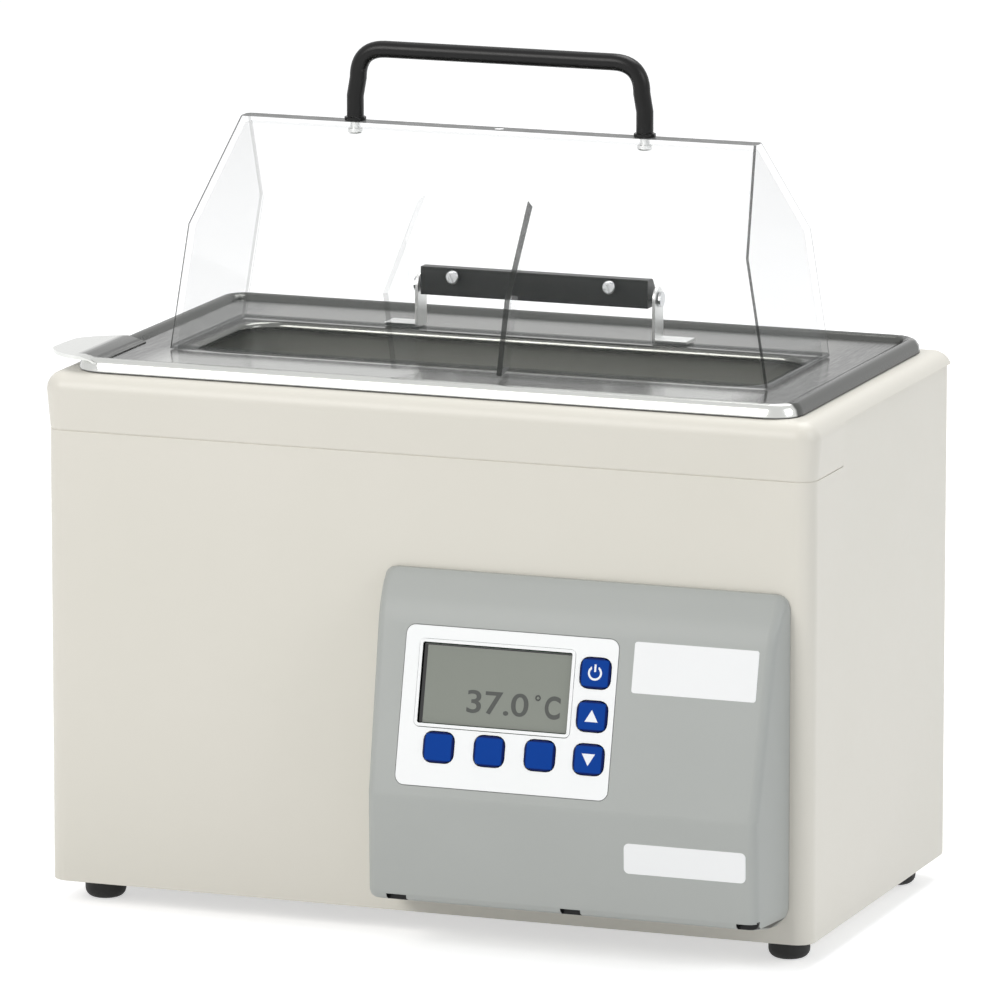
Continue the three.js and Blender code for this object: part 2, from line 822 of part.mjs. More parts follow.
// Heater mat under the bowl and wool jacket round it
function addHeaterAndJacket() {
  const inset = steel + tankDraft + floorCorner + matMargin;
  const matX = openingWidth / 2 - inset;
  const matY = openingDepth / 2 - matMargin;
  const mat = roundedShape(-matX, matX, openingShift - matY, openingShift + matY, floorCorner);
  place('heater_mat', alongZ(mat, matBottom, matBottom + matThickness), silicone());

  const innerX = openingWidth / 2 + steel + woolClearance;
  const innerY = openingDepth / 2 + steel + woolClearance;
  const outerX = innerX + woolThickness;
  const outerY = innerY + woolThickness;
  const innerCorner = openingCorner + steel + woolClearance;
  const outerCorner = innerCorner + woolThickness;
  const high = deckTop - steel - woolTop;
  const jacket = loft([
    ring(outerX, outerY, outerCorner, jacketBottom, openingShift),
    ring(outerX, outerY, outerCorner, high, openingShift),
    ring(innerX, innerY, innerCorner, high, openingShift),
    ring(innerX, innerY, innerCorner, jacketFloor, openingShift),
  ]);
  const backWall = openingShift + outerY;
  const frontInner = openingShift - innerY;
  const cutoutZ = tankFloor + cutoutLift;
  const probeZ = tankFloor + probeLift;
  const cutoutHole = rodY(
    cutoutRadius + meet, cutoutX, backWall - woolThickness - over, backWall + over, cutoutZ,
  );
  const pocket = probeRadius + meet;
  const halfProbe = probeLength / 2 + meet;
  const probePocket = slab(
    probeX - halfProbe, probeX + halfProbe, frontInner - pocket * 2, frontInner + over,
    probeZ - pocket, probeZ + pocket,
  );
  const leadHole = rodZ(
    leadRadius + meet, leadX, openingShift, jacketBottom - over, jacketFloor + over,
  );
  place('tank_jacket', cut(jacket, cutoutHole, probePocket, leadHole), mineralWool());

  const wallAt = (z) => openingDepth / 2 + steel + wallOffset(z);
  const cutoutY = openingShift + wallAt(cutoutZ + cutoutRadius) + meet;
  const capY = cutoutY + cutoutHeight;
  const button = join(
    rodY(cutoutRadius, cutoutX, cutoutY, capY, cutoutZ),
    slab(
      cutoutX - cutoutRadius / 2, cutoutX + cutoutRadius / 2, capY - over, capY + cutoutRadius / 2,
      cutoutZ - sheet / 2, cutoutZ + sheet / 2,
    ),
  );
  place('overheat_cutout', button, blackPlastic());
  const probeY = openingShift - wallAt(probeZ + probeRadius) - meet - probeRadius;
  const probe = rodX(
    probeRadius, probeX - probeLength / 2, probeX + probeLength / 2, probeY, probeZ,
  );
  place('temperature_probe', probe, steelScrew());
}

// Two steel bridges on the pan carry the jacket
function addBridges() {
  const top = jacketBottom - meet - sheet;
  const foot = panFloorTop + meet;
  const half = bridgeSpan / 2;
  const line = [
    new THREE.Vector2(half + bridgeFoot, foot),
    new THREE.Vector2(half, foot),
    new THREE.Vector2(half, top),
    new THREE.Vector2(-half, top),
    new THREE.Vector2(-half, foot),
    new THREE.Vector2(-half - bridgeFoot, foot),
  ];
  for (const [name, side] of [['left', -1], ['right', 1]]) {
    const x = side * (halfWidth - bridgeInset) - bridgeWidth / 2;
    place(`tank_bridge_${name}`, alongX(strip(line, sheet), x, x + bridgeWidth), stainless());
  }
}

// Lid: a hipped gable shell with two leaning cheeks on its front wall
function lidHalves(height) {
  if (height <= lidFoldHeight) {
    const share = height / lidFoldHeight;
    return [THREE.MathUtils.lerp(lidLength, lidFoldLength, share) / 2, lidDepth / 2];
  }
  const share = (height - lidFoldHeight) / (lidHeight - lidFoldHeight);
  const length = THREE.MathUtils.lerp(lidFoldLength, lidRidgeLength, share);
  return [length / 2, THREE.MathUtils.lerp(lidDepth, ridgeDepth, share) / 2];
}

function cheek(side) {
  const root = lidFront + lidWall / 2;
  const edge = lidFront - cheekReach;
  const low = standLevel + cheekLift;
  const fold = standLevel + lidFoldHeight;
  const pitch = (lidHeight - lidFoldHeight) / ((lidDepth - ridgeDepth) / 2);
  const tip = lidFront + cheekClimb;
  const top = fold + cheekClimb * pitch;
  const knee = fold + cheekPass - cheekReach * (pitch - cheekPass / cheekClimb);
  const outline = new THREE.Shape([
    new THREE.Vector2(root, low),
    new THREE.Vector2(root, fold),
    new THREE.Vector2(tip + lidWall / 2, top),
    new THREE.Vector2(tip, top),
    new THREE.Vector2(edge, knee),
    new THREE.Vector2(edge, low),
  ]);
  const geometry = alongX(outline, -cheekThickness / 2, cheekThickness / 2);
  const lean = side * cheekLeanShare;
  const flare = side * cheekFlareShare;
  const start = side * cheekHalfGap - lean * standLevel + flare * lidFront;
  const shear = new THREE.Matrix4().set(1, -flare, lean, start, 0, 1, 0, 0, 0, 0, 1, 0, 0, 0, 0, 1);
  return geometry.applyMatrix4(shear);
}

function lidBody() {
  const turn = Math.atan2((lidDepth - ridgeDepth) / 2, lidHeight - lidFoldHeight);
  const slopeInset = lidWall / Math.cos(turn);
  const foldDrop = lidWall * Math.tan(turn / 2);
  const outer = (height) => {
    const [x, y] = lidHalves(height);
    return ring(x, y, lidCorner, standLevel + height, seatY, 3);
  };
  const inner = (height, insetY) => {
    const [x, y] = lidHalves(height);
    return ring(x - lidWall, y - insetY, lidCorner - lidWall, standLevel + height, seatY, 3);
  };
  return loft([
    inner(lidHeight - lidWall, slopeInset),
    inner(lidFoldHeight - foldDrop, lidWall),
    inner(0, lidWall),
    outer(0),
    outer(lidFoldHeight),
    outer(lidHeight),
  ]);
}

const handleFeet = { left: -1, right: 1 };

function addLid(lid) {
  const hingeHoles = [-1, 1].map((side) => rodY(
    hingeScrewShank + meet, side * hingeScrewSpacing / 2, lidBack - lidWall - over, lidBack + over,
    hingeZ + hingeScrewRise,
  ));
  const handleHoles = Object.values(handleFeet).map((side) => rodZ(
    washerBore, side * handleSpacing / 2, seatY, ridgeTop - lidWall - over, ridgeTop + over,
  ));
  const gate = rodZ(gateRadius, 0, seatY, ridgeTop - lidWall / 2, ridgeTop + gateHeight);
  const shell = join(lidBody(), cheek(-1), cheek(1), gate);
  place('lid_shell', cut(shell, ...hingeHoles, ...handleHoles), clearPlastic(), lid);
}

// Bar handle on two washers, held by a screw up through the ridge at each foot
function addHandle(lid) {
  const foot = ridgeTop + washerHeight + meet * 2;
  const top = ridgeTop + handleRise;
  const bottomX = handleSpacing / 2;
  const topX = bottomX - handleSplay;
  const knee = foot + handleScrewDepth;
  const at = (x, z) => new THREE.Vector3(x, seatY, z);
  const path = new THREE.CurvePath();
  path.add(new THREE.LineCurve3(at(-bottomX, foot), at(-bottomX, knee)));
  path.add(new THREE.LineCurve3(at(-bottomX, knee), at(-topX, top - handleBend)));
  path.add(new THREE.QuadraticBezierCurve3(
    at(-topX, top - handleBend), at(-topX, top), at(-topX + handleBend, top),
  ));
  path.add(new THREE.LineCurve3(at(-topX + handleBend, top), at(topX - handleBend, top)));
  path.add(new THREE.QuadraticBezierCurve3(
    at(topX - handleBend, top), at(topX, top), at(topX, top - handleBend),
  ));
  path.add(new THREE.LineCurve3(at(topX, top - handleBend), at(bottomX, knee)));
  path.add(new THREE.LineCurve3(at(bottomX, knee), at(bottomX, foot)));
  const bar = tube(path, handleRadius, 40, 10);
  const bores = Object.values(handleFeet).map((side) => rodZ(
    handleBore, side * bottomX, seatY, foot - over, knee,
  ));
  place('lid_handle', cut(bar, ...bores), blackPlastic(), lid);

  const ceiling = ridgeTop - lidWall;
  for (const [name, side] of Object.entries(handleFeet)) {
    const x = side * bottomX;
    const low = ridgeTop + meet;
    const disc = rodZ(washerRadius, x, seatY, low, low + washerHeight, 14);
    const hole = rodZ(washerBore, x, seatY, low - over, low + washerHeight + over);
    place(`handle_washer_${name}`, cut(disc, hole), clearPlastic(), lid);
    const screw = join(
      rodZ(screwHead, x, seatY, ceiling - meet - screwHeadHeight, ceiling - meet, 10),
      rodZ(screwShank, x, seatY, ceiling - screwHeadHeight, knee - over, 10),
    );
    place(`handle_screw_${name}`, screw, steelScrew(), lid);
  }
}

// Hinge: a bar screwed to the lid's back wall turns on a pin between two deck ears
function addHinge(lid) {
  const half = hingeLength / 2;
  const front = lidBack + meet;
  const back = hingeY + hingeBehind;
  const low = hingeZ - hingeBelow;
  const high = hingeZ + hingeAbove;
  const profile = new THREE.Shape(soften([
    new THREE.Vector2(front, low),
    new THREE.Vector2(back, low),
    new THREE.Vector2(back, high - hingeAbove / 2),
    new THREE.Vector2(back - hingeBehind, high),
    new THREE.Vector2(front, high),
  ], [0, hingeEdge, hingeEdge, hingeEdge, 0], 2));
  const bore = rodX(pinBore, -half - over, half + over, hingeY, hingeZ);
  const screwZ = hingeZ + hingeScrewRise;
  const bite = front + hingeScrewBite;
  const pilots = [-1, 1].map((side) => rodY(
    hingeScrewShank + meet, side * hingeScrewSpacing / 2, front - over, bite, screwZ,
  ));
  place('hinge_bar', cut(alongX(profile, -half, half), bore, ...pilots), blackPlastic(), lid);
  [-1, 1].forEach((side, index) => {
    const x = side * hingeScrewSpacing / 2;
    const inside = lidBack - lidWall - meet;
    const screw = join(
      rodY(hingeScrewHead, x, inside - hingeScrewHeadHeight, inside, screwZ, 10),
      rodY(hingeScrewShank, x, inside - hingeScrewHeadHeight / 2, bite - meet, screwZ, 10),
    );
    place(`hinge_screw_${index + 1}`, screw, steelScrew(), lid);
  });
}

function addHingePin() {
  const half = hingeLength / 2;
  const pinEnd = half + earGap + earThickness + meet;
  const pin = join(
    rodX(pinRadius, -pinEnd - pinHeadLength, pinEnd + pinHeadLength, hingeY, hingeZ),
    rodX(pinHead, -pinEnd - pinHeadLength, -pinEnd, hingeY, hingeZ),
    rodX(pinHead, pinEnd, pinEnd + pinHeadLength, hingeY, hingeZ),
  );
  place('hinge_pin', pin, steelScrew());
  const floor = standLevel;
  const plate = new THREE.Shape();
  plate.absarc(hingeY, hingeZ, earRadius, 0, Math.PI, false);
  plate.lineTo(hingeY - earRadius, floor);
  plate.lineTo(hingeY + earRadius, floor);
  for (const [name, side] of [['left', -1], ['right', 1]]) {
    const inner = half + earGap;
    const x0 = side > 0 ? inner : -inner - earThickness;
    const footX0 = side > 0 ? inner : -inner - earFoot;
    const ear = join(
      alongX(plate, x0, x0 + earThickness, 8),
      slab(footX0, footX0 + earFoot, hingeY - earRadius, hingeY + earRadius, floor, floor + earThickness),
    );
    const hole = rodX(pinBore, x0 - over, x0 + earThickness + over, hingeY, hingeZ);
    place(`hinge_ear_${name}`, cut(ear, hole), stainless());
  }
}

// Console: a moulded wedge whose level sections follow a reach for each height
const consoleLine = soften([
  new THREE.Vector2(consoleLedge, consoleTop),
  new THREE.Vector2(consoleLedge + ledgeSoftness, consoleTop - ledgeSoftness),
  new THREE.Vector2(consoleShoulderReach, consoleShoulder),
  new THREE.Vector2(consoleBrowReach, consoleBrow),
  new THREE.Vector2(consoleToeReach, consoleToe),
  new THREE.Vector2(consoleLedge, consoleBottom),
], [0, ledgeSoftness, shoulderSoftness, browSoftness, toeSoftness, 0]);

function reachAt(line, height) {
  const next = line.findIndex((point) => point.y <= height);
  if (next < 1) {
    return line[next < 0 ? line.length - 1 : 0].x;
  }
  const above = line[next - 1];
  const below = line[next];
  const share = (above.y - height) / (above.y - below.y);
  return THREE.MathUtils.lerp(above.x, below.x, share);
}

function cornerInset(height, inset) {
  const round = (radius, into) => {
    const r = Math.max(radius - inset, leastCorner);
    const rest = Math.min(Math.max(r - into, 0), r);
    return r - Math.sqrt(r * r - rest * rest);
  };
  const fromTop = round(consoleCorner, consoleTop - inset - height);
  const fromBottom = round(consoleLowCorner, height - consoleBottom - inset);
  return Math.max(fromTop, fromBottom);
}

function consoleRing(reach, height, inset, backY) {
  const side = inset + cornerInset(height, inset);
  const draft = consoleDraft * (Math.max(reach, 0) / consoleBrowReach);
  const radius = Math.max(Math.min(consoleEdge - inset, reach - leastCorner), leastCorner);
  const left = consoleLeft + side;
  const right = consoleRight - side;
  const frontY = consoleBack - reach;
  const z = bodyBottom + height;
  const corner = (x, from, to) => arc(x, frontY + radius, radius, radius, from, to, 3);
  const front = [
    ...corner(left + draft + radius, Math.PI, Math.PI * 1.5),
    ...corner(right - draft - radius, Math.PI * 1.5, Math.PI * 2),
  ];
  const back = [new THREE.Vector2(right, backY), new THREE.Vector2(left, backY)];
  return [...front, ...back].map((point) => new THREE.Vector3(point.x, point.y, z));
}

function consoleBody(line, inset, backY) {
  const low = consoleBottom + inset;
  const high = consoleTop - inset;
  const steps = 3;
  const heights = new Set([low, high]);
  for (let step = 1; step <= steps; step += 1) {
    const share = 1 - Math.cos((step / steps) * (Math.PI / 2));
    heights.add(high - share * Math.max(consoleCorner - inset, leastCorner));
    heights.add(low + share * Math.max(consoleLowCorner - inset, leastCorner));
  }
  line.filter((point) => point.y > low && point.y < high).forEach((point) => heights.add(point.y));
  const sorted = [...heights].sort((a, b) => a - b);
  const apart = leastCorner / 4;
  const kept = sorted.filter((height, index) => index === 0 || height - sorted[index - 1] > apart);
  return loft(kept.map((height) => consoleRing(reachAt(line, height), height, inset, backY)));
}

// The sloping face's own frame: X to the right, Y up the slope, Z out of the face
function slopingFace() {
  const run = consoleBrowReach - consoleShoulderReach;
  const rise = consoleShoulder - consoleBrow;
  const face = new THREE.Group();
  face.position.set(consoleLeft, consoleBack - consoleBrowReach, bodyBottom + consoleBrow);
  face.rotation.x = Math.atan2(rise, run);
  face.updateMatrix();
  return face;
}

const keyPlaces = {
  key_row_left: [keyRowX, keyRowV],
  key_row_middle: [keyRowX + keyPitch, keyRowV],
  key_row_right: [keyRowX + keyPitch * 2, keyRowV],
  key_down: [keyColumnX, keyRowV],
  key_up: [keyColumnX, keyRowV + keyColumnPitch],
  key_power: [keyColumnX, keyRowV + keyColumnPitch * 2],
};

// Cutters for the window and the keys, through whatever lies between two depths
function faceOpenings(low, high) {
  const rim = bezelWall + meet;
  const window = alongZ(roundedShape(
    windowLeft - rim, windowRight + rim, windowLow - rim, windowHigh + rim, windowCorner + rim,
  ), low, high);
  const halfX = keyWidth / 2 + keyGap;
  const halfY = keyHeight / 2 + keyGap;
  const keys = Object.values(keyPlaces).map(([x, y]) => alongZ(
    roundedShape(x - halfX, x + halfX, y - halfY, y + halfY, keyCorner + keyGap), low, high, 2,
  ));
  return [window, ...keys];
}

function boardPosts() {
  const inset = boardMargin + postInset;
  const places = [];
  for (const x of [padLeft + inset, padRight - inset]) {
    for (const y of [padLow + inset, padHigh - inset]) {
      places.push([x, y]);
    }
  }
  return places;
}

function addConsole(face) {
  const outer = consoleBody(consoleLine, 0, consoleBack);
  const cavity = consoleBody(offsetLine(consoleLine, consoleWall), consoleWall, consoleBack + over);
  const bosses = Object.values(consoleBosses).map(([x, height]) => common(
    rodY(bossRadius, x, consoleBack - consoleBrowReach, consoleBack, bodyBottom + height, 10), outer,
  ));
  const bores = Object.values(consoleBosses).map(([x, height]) => rodY(
    bossBore, x, consoleBack - consoleScrewBite - over, consoleBack + over, bodyBottom + height, 8,
  ));
  const onFace = (geometry) => geometry.applyMatrix4(face.matrix);
  const posts = boardPosts().map(([x, y]) => onFace(
    rodZ(postRadius, x, y, meet - boardSet, leastCorner - consoleWall, 8),
  ));
  const recess = onFace(alongZ(
    roundedShape(padLeft - meet, padRight + meet, padLow - meet, padHigh + meet, padCorner + meet),
    -padRecess, over,
  ));
  const openings = faceOpenings(-consoleWall - over, over).map(onFace);
  const toeY = consoleBack - consoleToeReach;
  const toeZ = bodyBottom + consoleToe;
  const notches = [-1, 0, 1].map((step) => {
    const left = consoleLeft + notchInset + step * notchSpacing - notchWidth / 2;
    return slab(
      left, left + notchWidth, toeY - over, toeY + notchDepth, toeZ - notchHeight, toeZ + notchHeight,
    );
  });
  const shell = join(cut(outer, cavity), ...bosses, ...posts);
  const finished = cut(shell, ...bores, recess, ...openings, ...notches);
  place('console_shell', finished, greyPlastic());

  for (const [name, [x, height]] of Object.entries(consoleBosses)) {
    const inside = sheet - halfDepth + meet;
    const z = bodyBottom + height;
    const screw = join(
      rodY(screwHead, x, inside, inside + screwHeadHeight, z, 10),
      rodY(consoleScrewShank, x, consoleBack - consoleScrewBite, inside + screwHeadHeight / 2, z, 10),
    );
    place(`console_screw_${name}`, screw, steelScrew());
  }
}

// Keypad film, bezel, window and display on the sloping face
function addKeypad(face) {
  const filmTop = meet - padRecess + padThickness;
  const film = alongZ(
    roundedShape(padLeft, padRight, padLow, padHigh, padCorner), meet - padRecess, filmTop,
  );
  place('keypad_film', cut(film, ...faceOpenings(-padRecess, over)), whiteFilm(), face);

  const windowShape = (grow) => roundedShape(
    windowLeft - grow, windowRight + grow, windowLow - grow, windowHigh + grow, windowCorner + grow,
  );
  const bezel = cut(
    alongZ(windowShape(bezelWall), -consoleWall, filmTop),
    alongZ(windowShape(0), -consoleWall - over, filmTop + over),
  );
  place('display_bezel', bezel, blackPlastic(), face);
  const pane = alongZ(windowShape(-meet), -windowSet - windowThickness, -windowSet);
  place('display_window', pane, displayGlass(), face);
  const back = -consoleWall - meet;
  const module = alongZ(windowShape(bezelWall + displayMargin), back - displayThickness, back);
  place('display_module', module, circuitGreen(), face);
}

function addKeys(face) {
  const inner = -consoleWall - meet;
  const stemEnd = meet + keyTravel - boardSet;
  const level = (grow, z) => ring(
    keyWidth / 2 + grow, keyHeight / 2 + grow, keyCorner + grow, z, 0, 2,
  );
  for (const [name, [x, y]] of Object.entries(keyPlaces)) {
    const cap = loft([
      level(keyFlange, inner - keyFlangeThickness),
      level(keyFlange, inner),
      level(0, inner),
      level(0, keyProud - keyEdge),
      level(-keyEdge, keyProud),
    ]);
    const stem = rodZ(keyStem, 0, 0, stemEnd, inner - keyFlangeThickness / 2, 10);
    place(name, join(cap, stem), blueKey(), face).position.set(x, y, 0);
  }
}

function addKeypadBoard(face) {
  const board = roundedShape(
    padLeft + boardMargin, padRight - boardMargin, padLow + boardMargin, padHigh - boardMargin, postRadius,
  );
  place('keypad_board', alongZ(board, -boardSet - boardThickness, -boardSet), circuitGreen(), face);
}

// Mains inlet and its contacts
function addInlet() {
  const outside = panelOutside + meet;
  const faceY = outside + inletFlangeDepth;
  const rear = outside - inletBodyDepth;
  const box = (width, height, y0, y1) => alongY(roundedShape(
    inletX - width / 2, inletX + width / 2, inletZ - height / 2, inletZ + height / 2, socketCorner,
  ), y0, y1);
  const flange = box(inletFlangeWidth, inletFlangeHeight, outside, faceY);
  const body = box(inletBodyWidth, inletBodyHeight, rear, outside + over);
  const socketFloor = faceY - socketDepth;
  const socket = box(socketWidth, socketHeight, socketFloor, faceY + over);
  const blade = ([column, row], grow, y0, y1) => {
    const x = inletX + column * bladeSpacing;
    const z = inletZ + row * bladeOffset;
    return slab(
      x - bladeWidth / 2 - grow, x + bladeWidth / 2 + grow, y0, y1,
      z - bladeHeight / 2 - grow, z + bladeHeight / 2 + grow,
    );
  };
  const bladePlaces = [[-1, -1], [1, -1], [0, 1]];
  const slots = bladePlaces.map((spot) => blade(spot, meet, rear - over, socketFloor + over));
  place('mains_inlet', cut(join(flange, body), socket, ...slots), blackPlastic());
  const plate = box(inletBodyWidth, inletBodyHeight, rear - meet - bladePlate, rear - meet);
  const contacts = bladePlaces.map((spot) => blade(
    spot, 0, rear - meet - over, socketFloor + bladeLength,
  ));
  place('inlet_contacts', join(plate, ...contacts), brassPart());
}

// Main switch: a frame in the back panel and a rocker that tips about its middle
function addMainSwitch() {
  const outside = panelOutside + meet;
  const faceY = outside + switchFlangeDepth;
  const wellX = switchWidth - switchWall * 2;
  const wellZ = switchHeight - switchWall * 2;
  const box = (width, height, y0, y1, radius) => alongY(roundedShape(
    switchX - width / 2, switchX + width / 2, inletZ - height / 2, inletZ + height / 2, radius,
  ), y0, y1);
  const flange = box(
    switchWidth + switchRim * 2, switchHeight + switchRim * 2, outside, faceY, switchRim,
  );
  const body = box(switchWidth, switchHeight, faceY - switchBodyDepth, outside + over, switchWall);
  const well = box(wellX, wellZ, faceY - switchBodyDepth + switchWall, faceY + over, switchWall / 4);
  place('switch_frame', cut(join(flange, body), well), blackPlastic());

  const radius = wellZ / 2 - seam;
  const tilt = THREE.MathUtils.degToRad(rockerTiltAngle);
  const rise = THREE.MathUtils.degToRad(rockerRiseAngle);
  const dip = THREE.MathUtils.degToRad(rockerDipAngle);
  const crease = radius * Math.sin(rise) - radius * Math.cos(rise) * Math.tan(tilt);
  const outline = new THREE.Shape([
    new THREE.Vector2(crease, 0),
    ...arc(0, 0, radius, radius, Math.PI / 2 - rise, Math.PI / 2 + dip, 4),
    ...arc(0, 0, radius, radius, -Math.PI / 2 - dip, -Math.PI / 2 + rise, 4),
  ]);
  const half = wellX / 2 - meet;
  const rocker = place('switch_rocker', alongX(outline, -half, half), blackPlastic());
  rocker.position.set(switchX, faceY, inletZ);
  rocker.rotation.x = tilt;
}

// Power board on its posts, with transformer, heat sink and relay
function addPowerBoard() {
  const low = powerBoardTop - boardThickness;
  const halfX = powerBoardWidth / 2;
  const halfY = powerBoardDepth / 2;
  const board = slab(powerBoardX - halfX, powerBoardX + halfX, -halfY, halfY, low, powerBoardTop);
  const posts = [];
  for (const sideX of [-1, 1]) {
    for (const sideY of [-1, 1]) {
      const x = powerBoardX + sideX * (halfX - powerPostInset);
      const y = sideY * (halfY - powerPostInset);
      posts.push(rodZ(powerPostRadius, x, y, panFloorTop + meet, low + boardThickness / 2));
    }
  }
  place('power_board', join(board, ...posts), circuitGreen());

  const base = powerBoardTop + meet;
  const block = (x, width, depth, height) => slab(
    x - width / 2, x + width / 2, -depth / 2, depth / 2, base, base + height,
  );
  const coilY = coreDepth / 2 + coilBulge;
  const coilShape = roundedShape(
    transformerX - coilWidth / 2, transformerX + coilWidth / 2, -coilY, coilY, coilBulge,
  );
  const coil = alongZ(coilShape, base + sinkBase, base + coreHeight - sinkBase);
  place('transformer', join(block(transformerX, coreWidth, coreDepth, coreHeight), coil), leadGrey());

  const gap = (sinkWidth - sinkFin) / (sinkFins - 1);
  const fins = [];
  for (let i = 0; i < sinkFins; i += 1) {
    const x = sinkX - sinkWidth / 2 + i * gap;
    fins.push(slab(x, x + sinkFin, -sinkDepth / 2, sinkDepth / 2, base + sinkBase / 2, base + sinkHeight));
  }
  place('triac_heat_sink', join(block(sinkX, sinkWidth, sinkDepth, sinkBase), ...fins), aluminium());
  place('heater_relay', block(relayX, relayWidth, relayDepth, relayHeight), blackPlastic());
}

// Leads: the heater's, the mains lead and the ribbon from the keypad board
function addLeads(face) {
  const heaterLead = rodZ(leadRadius, leadX, openingShift, powerBoardTop + meet, matBottom - meet, 10);
  place('heater_lead', heaterLead, leadGrey());

  const startY = panelOutside - inletBodyDepth - bladePlate - meet * 2;
  const landX = powerBoardX - powerBoardWidth / 2 + powerPostInset * 2;
  const cruise = inletZ + leadRadius;
  const mainsPath = new THREE.CatmullRomCurve3([
    new THREE.Vector3(inletX, startY, inletZ),
    new THREE.Vector3(inletX, startY - leadBow, inletZ),
    new THREE.Vector3(inletX + leadBow, leadLandY, cruise),
    new THREE.Vector3(landX - leadBow, leadLandY, cruise),
    new THREE.Vector3(landX, leadLandY, powerBoardTop + leadRadius * 4),
    new THREE.Vector3(landX, leadLandY, powerBoardTop + meet),
  ]);
  place('mains_lead', tube(mainsPath, leadRadius, 26, 8), leadGrey());

  const solder = new THREE.Vector3(0, keyRowV, -boardSet - boardThickness).applyMatrix4(face.matrix);
  const holeZ = bodyBottom + cableHoleLift;
  const riseY = sheet - halfDepth + ribbonWidth / 2;
  const climbY = consoleBack - consoleShoulderReach / 2;
  const startZ = powerBoardTop - boardThickness / 2;
  const bend = ribbonWidth / 6;
  const ribbonLine = soften([
    new THREE.Vector2(-powerBoardDepth / 2 - meet, startZ),
    new THREE.Vector2(riseY, startZ),
    new THREE.Vector2(riseY, holeZ),
    new THREE.Vector2(climbY, holeZ),
    new THREE.Vector2(climbY, solder.z),
    new THREE.Vector2(solder.y + meet * 2, solder.z),
  ], [0, bend, bend, bend, bend, 0]);
  const ribbon = alongX(
    strip(ribbonLine, ribbonThickness), cableHoleX - ribbonWidth / 2, cableHoleX + ribbonWidth / 2,
  );
  place('keypad_ribbon', ribbon, leadGrey());
}

const lid = new THREE.Group();
const face = slopingFace();
bath.add(lid, face);
addBasePan();
addFeet();
addHousingWrap();
addBackPanel();
addTopCover();
addTank();
addGasket();
addHeaterAndJacket();
addBridges();
addLid(lid);
addHandle(lid);
addHinge(lid);
addHingePin();
addConsole(face);
addKeypad(face);
addKeys(face);
addKeypadBoard(face);
addInlet();
addMainSwitch();
addPowerBoard();
addLeads(face);

// The origin is put below the middle of the whole object, on the surface it stands on
const extent = new THREE.Box3().setFromObject(bath, true);
const middle = extent.getCenter(new THREE.Vector3());
bath.position.set(-middle.x, -middle.y, -extent.min.z);

export default bath;
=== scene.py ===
import math

import bpy
from mathutils import Matrix, Vector


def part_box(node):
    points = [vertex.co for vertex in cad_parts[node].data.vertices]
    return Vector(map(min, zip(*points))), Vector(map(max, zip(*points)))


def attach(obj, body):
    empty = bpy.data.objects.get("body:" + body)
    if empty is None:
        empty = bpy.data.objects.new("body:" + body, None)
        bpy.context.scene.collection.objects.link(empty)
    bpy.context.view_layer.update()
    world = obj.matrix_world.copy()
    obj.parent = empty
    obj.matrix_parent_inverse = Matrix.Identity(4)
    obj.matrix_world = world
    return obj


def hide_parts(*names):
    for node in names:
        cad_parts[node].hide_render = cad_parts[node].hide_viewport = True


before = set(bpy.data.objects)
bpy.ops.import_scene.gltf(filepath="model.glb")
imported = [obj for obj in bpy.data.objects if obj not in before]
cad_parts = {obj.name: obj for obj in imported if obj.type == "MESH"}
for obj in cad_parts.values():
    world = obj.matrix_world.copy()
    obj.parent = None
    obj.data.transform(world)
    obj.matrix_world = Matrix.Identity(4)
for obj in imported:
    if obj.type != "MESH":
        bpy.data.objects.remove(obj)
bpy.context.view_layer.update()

# A bench water bath under plain studio light: an enamelled housing, a stainless tank with
# its deck, a clear hinged lid and a grey console. Metres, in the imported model's frame.
mm = 0.001

# A length too small to matter
hairline = 1e-6

# The camera of the picture
eye = Vector((1.43816, -3.81334, 0.98336))
lens = 344.3
sensor_width = 36
turn = math.radians(20.568)
dip = math.radians(11.203)

# The console's two faces meet at its brow; each is drawn from there, X to the right and Y up
brow = Vector((3.25, -115.532, 69.5)) * mm
slope_lean = math.atan2(77.7, 18.5)
apron_lean = math.atan2(45.5, -1.2)
slope = Matrix.Translation(brow) @ Matrix.Rotation(slope_lean, 4, "X")
apron = Matrix.Translation(brow) @ Matrix.Rotation(apron_lean, 4, "X")

# The three slots in the console's toe, their insides painted black as shade
notch_middle = 81.75 * mm
notch_spacing = 79 * mm
notch_half = 4.7 * mm
notch_rise = 2.5 * mm
toe_height = 24 * mm
toe_front = -113.9 * mm

# Key centres on the sloping face, in millimetres
key_places = {
    "key_row_left": (17.6, 22.1),
    "key_row_middle": (40.5, 22.1),
    "key_row_right": (63.4, 22.1),
    "key_down": (85.4, 22.1),
    "key_up": (85.4, 40.4),
    "key_power": (85.4, 58.7),
}
key_bodies = {
    "key_row_left": "left_key",
    "key_row_middle": "middle_key",
    "key_row_right": "right_key",
    "key_down": "down_key",
    "key_up": "up_key",
    "key_power": "power_key",
}
key_half = Vector((6.8, 6.5)) * mm
key_border = 1.1 * mm
key_top = 0.8 * mm
print_height = 0.06 * mm

# The display's glass with painted shadow of its recess along two sides, and its rim, drawn 0.1 mm larger
# all round
window_top = -0.8 * mm
window_left = 7.3 * mm
window_high = 66 * mm
left_shadow = 1.7 * mm
top_shadow = 0.7 * mm
shadow_ramp = 0.1 * mm
window_middle = Vector((40.8, 49)) * mm
bezel_growth = (1.0028, 1.0054)

# The reading on the display, in millimetres on the sloping face
reading_low = 37.7
reading_high = 47.6
digits_left = 28.4
digits_right = 56.2
unit_left = 63.6
unit_right = 70.6
degree_place = (60.2, 46.3)
degree_radius = 0.95
degree_line = 0.32

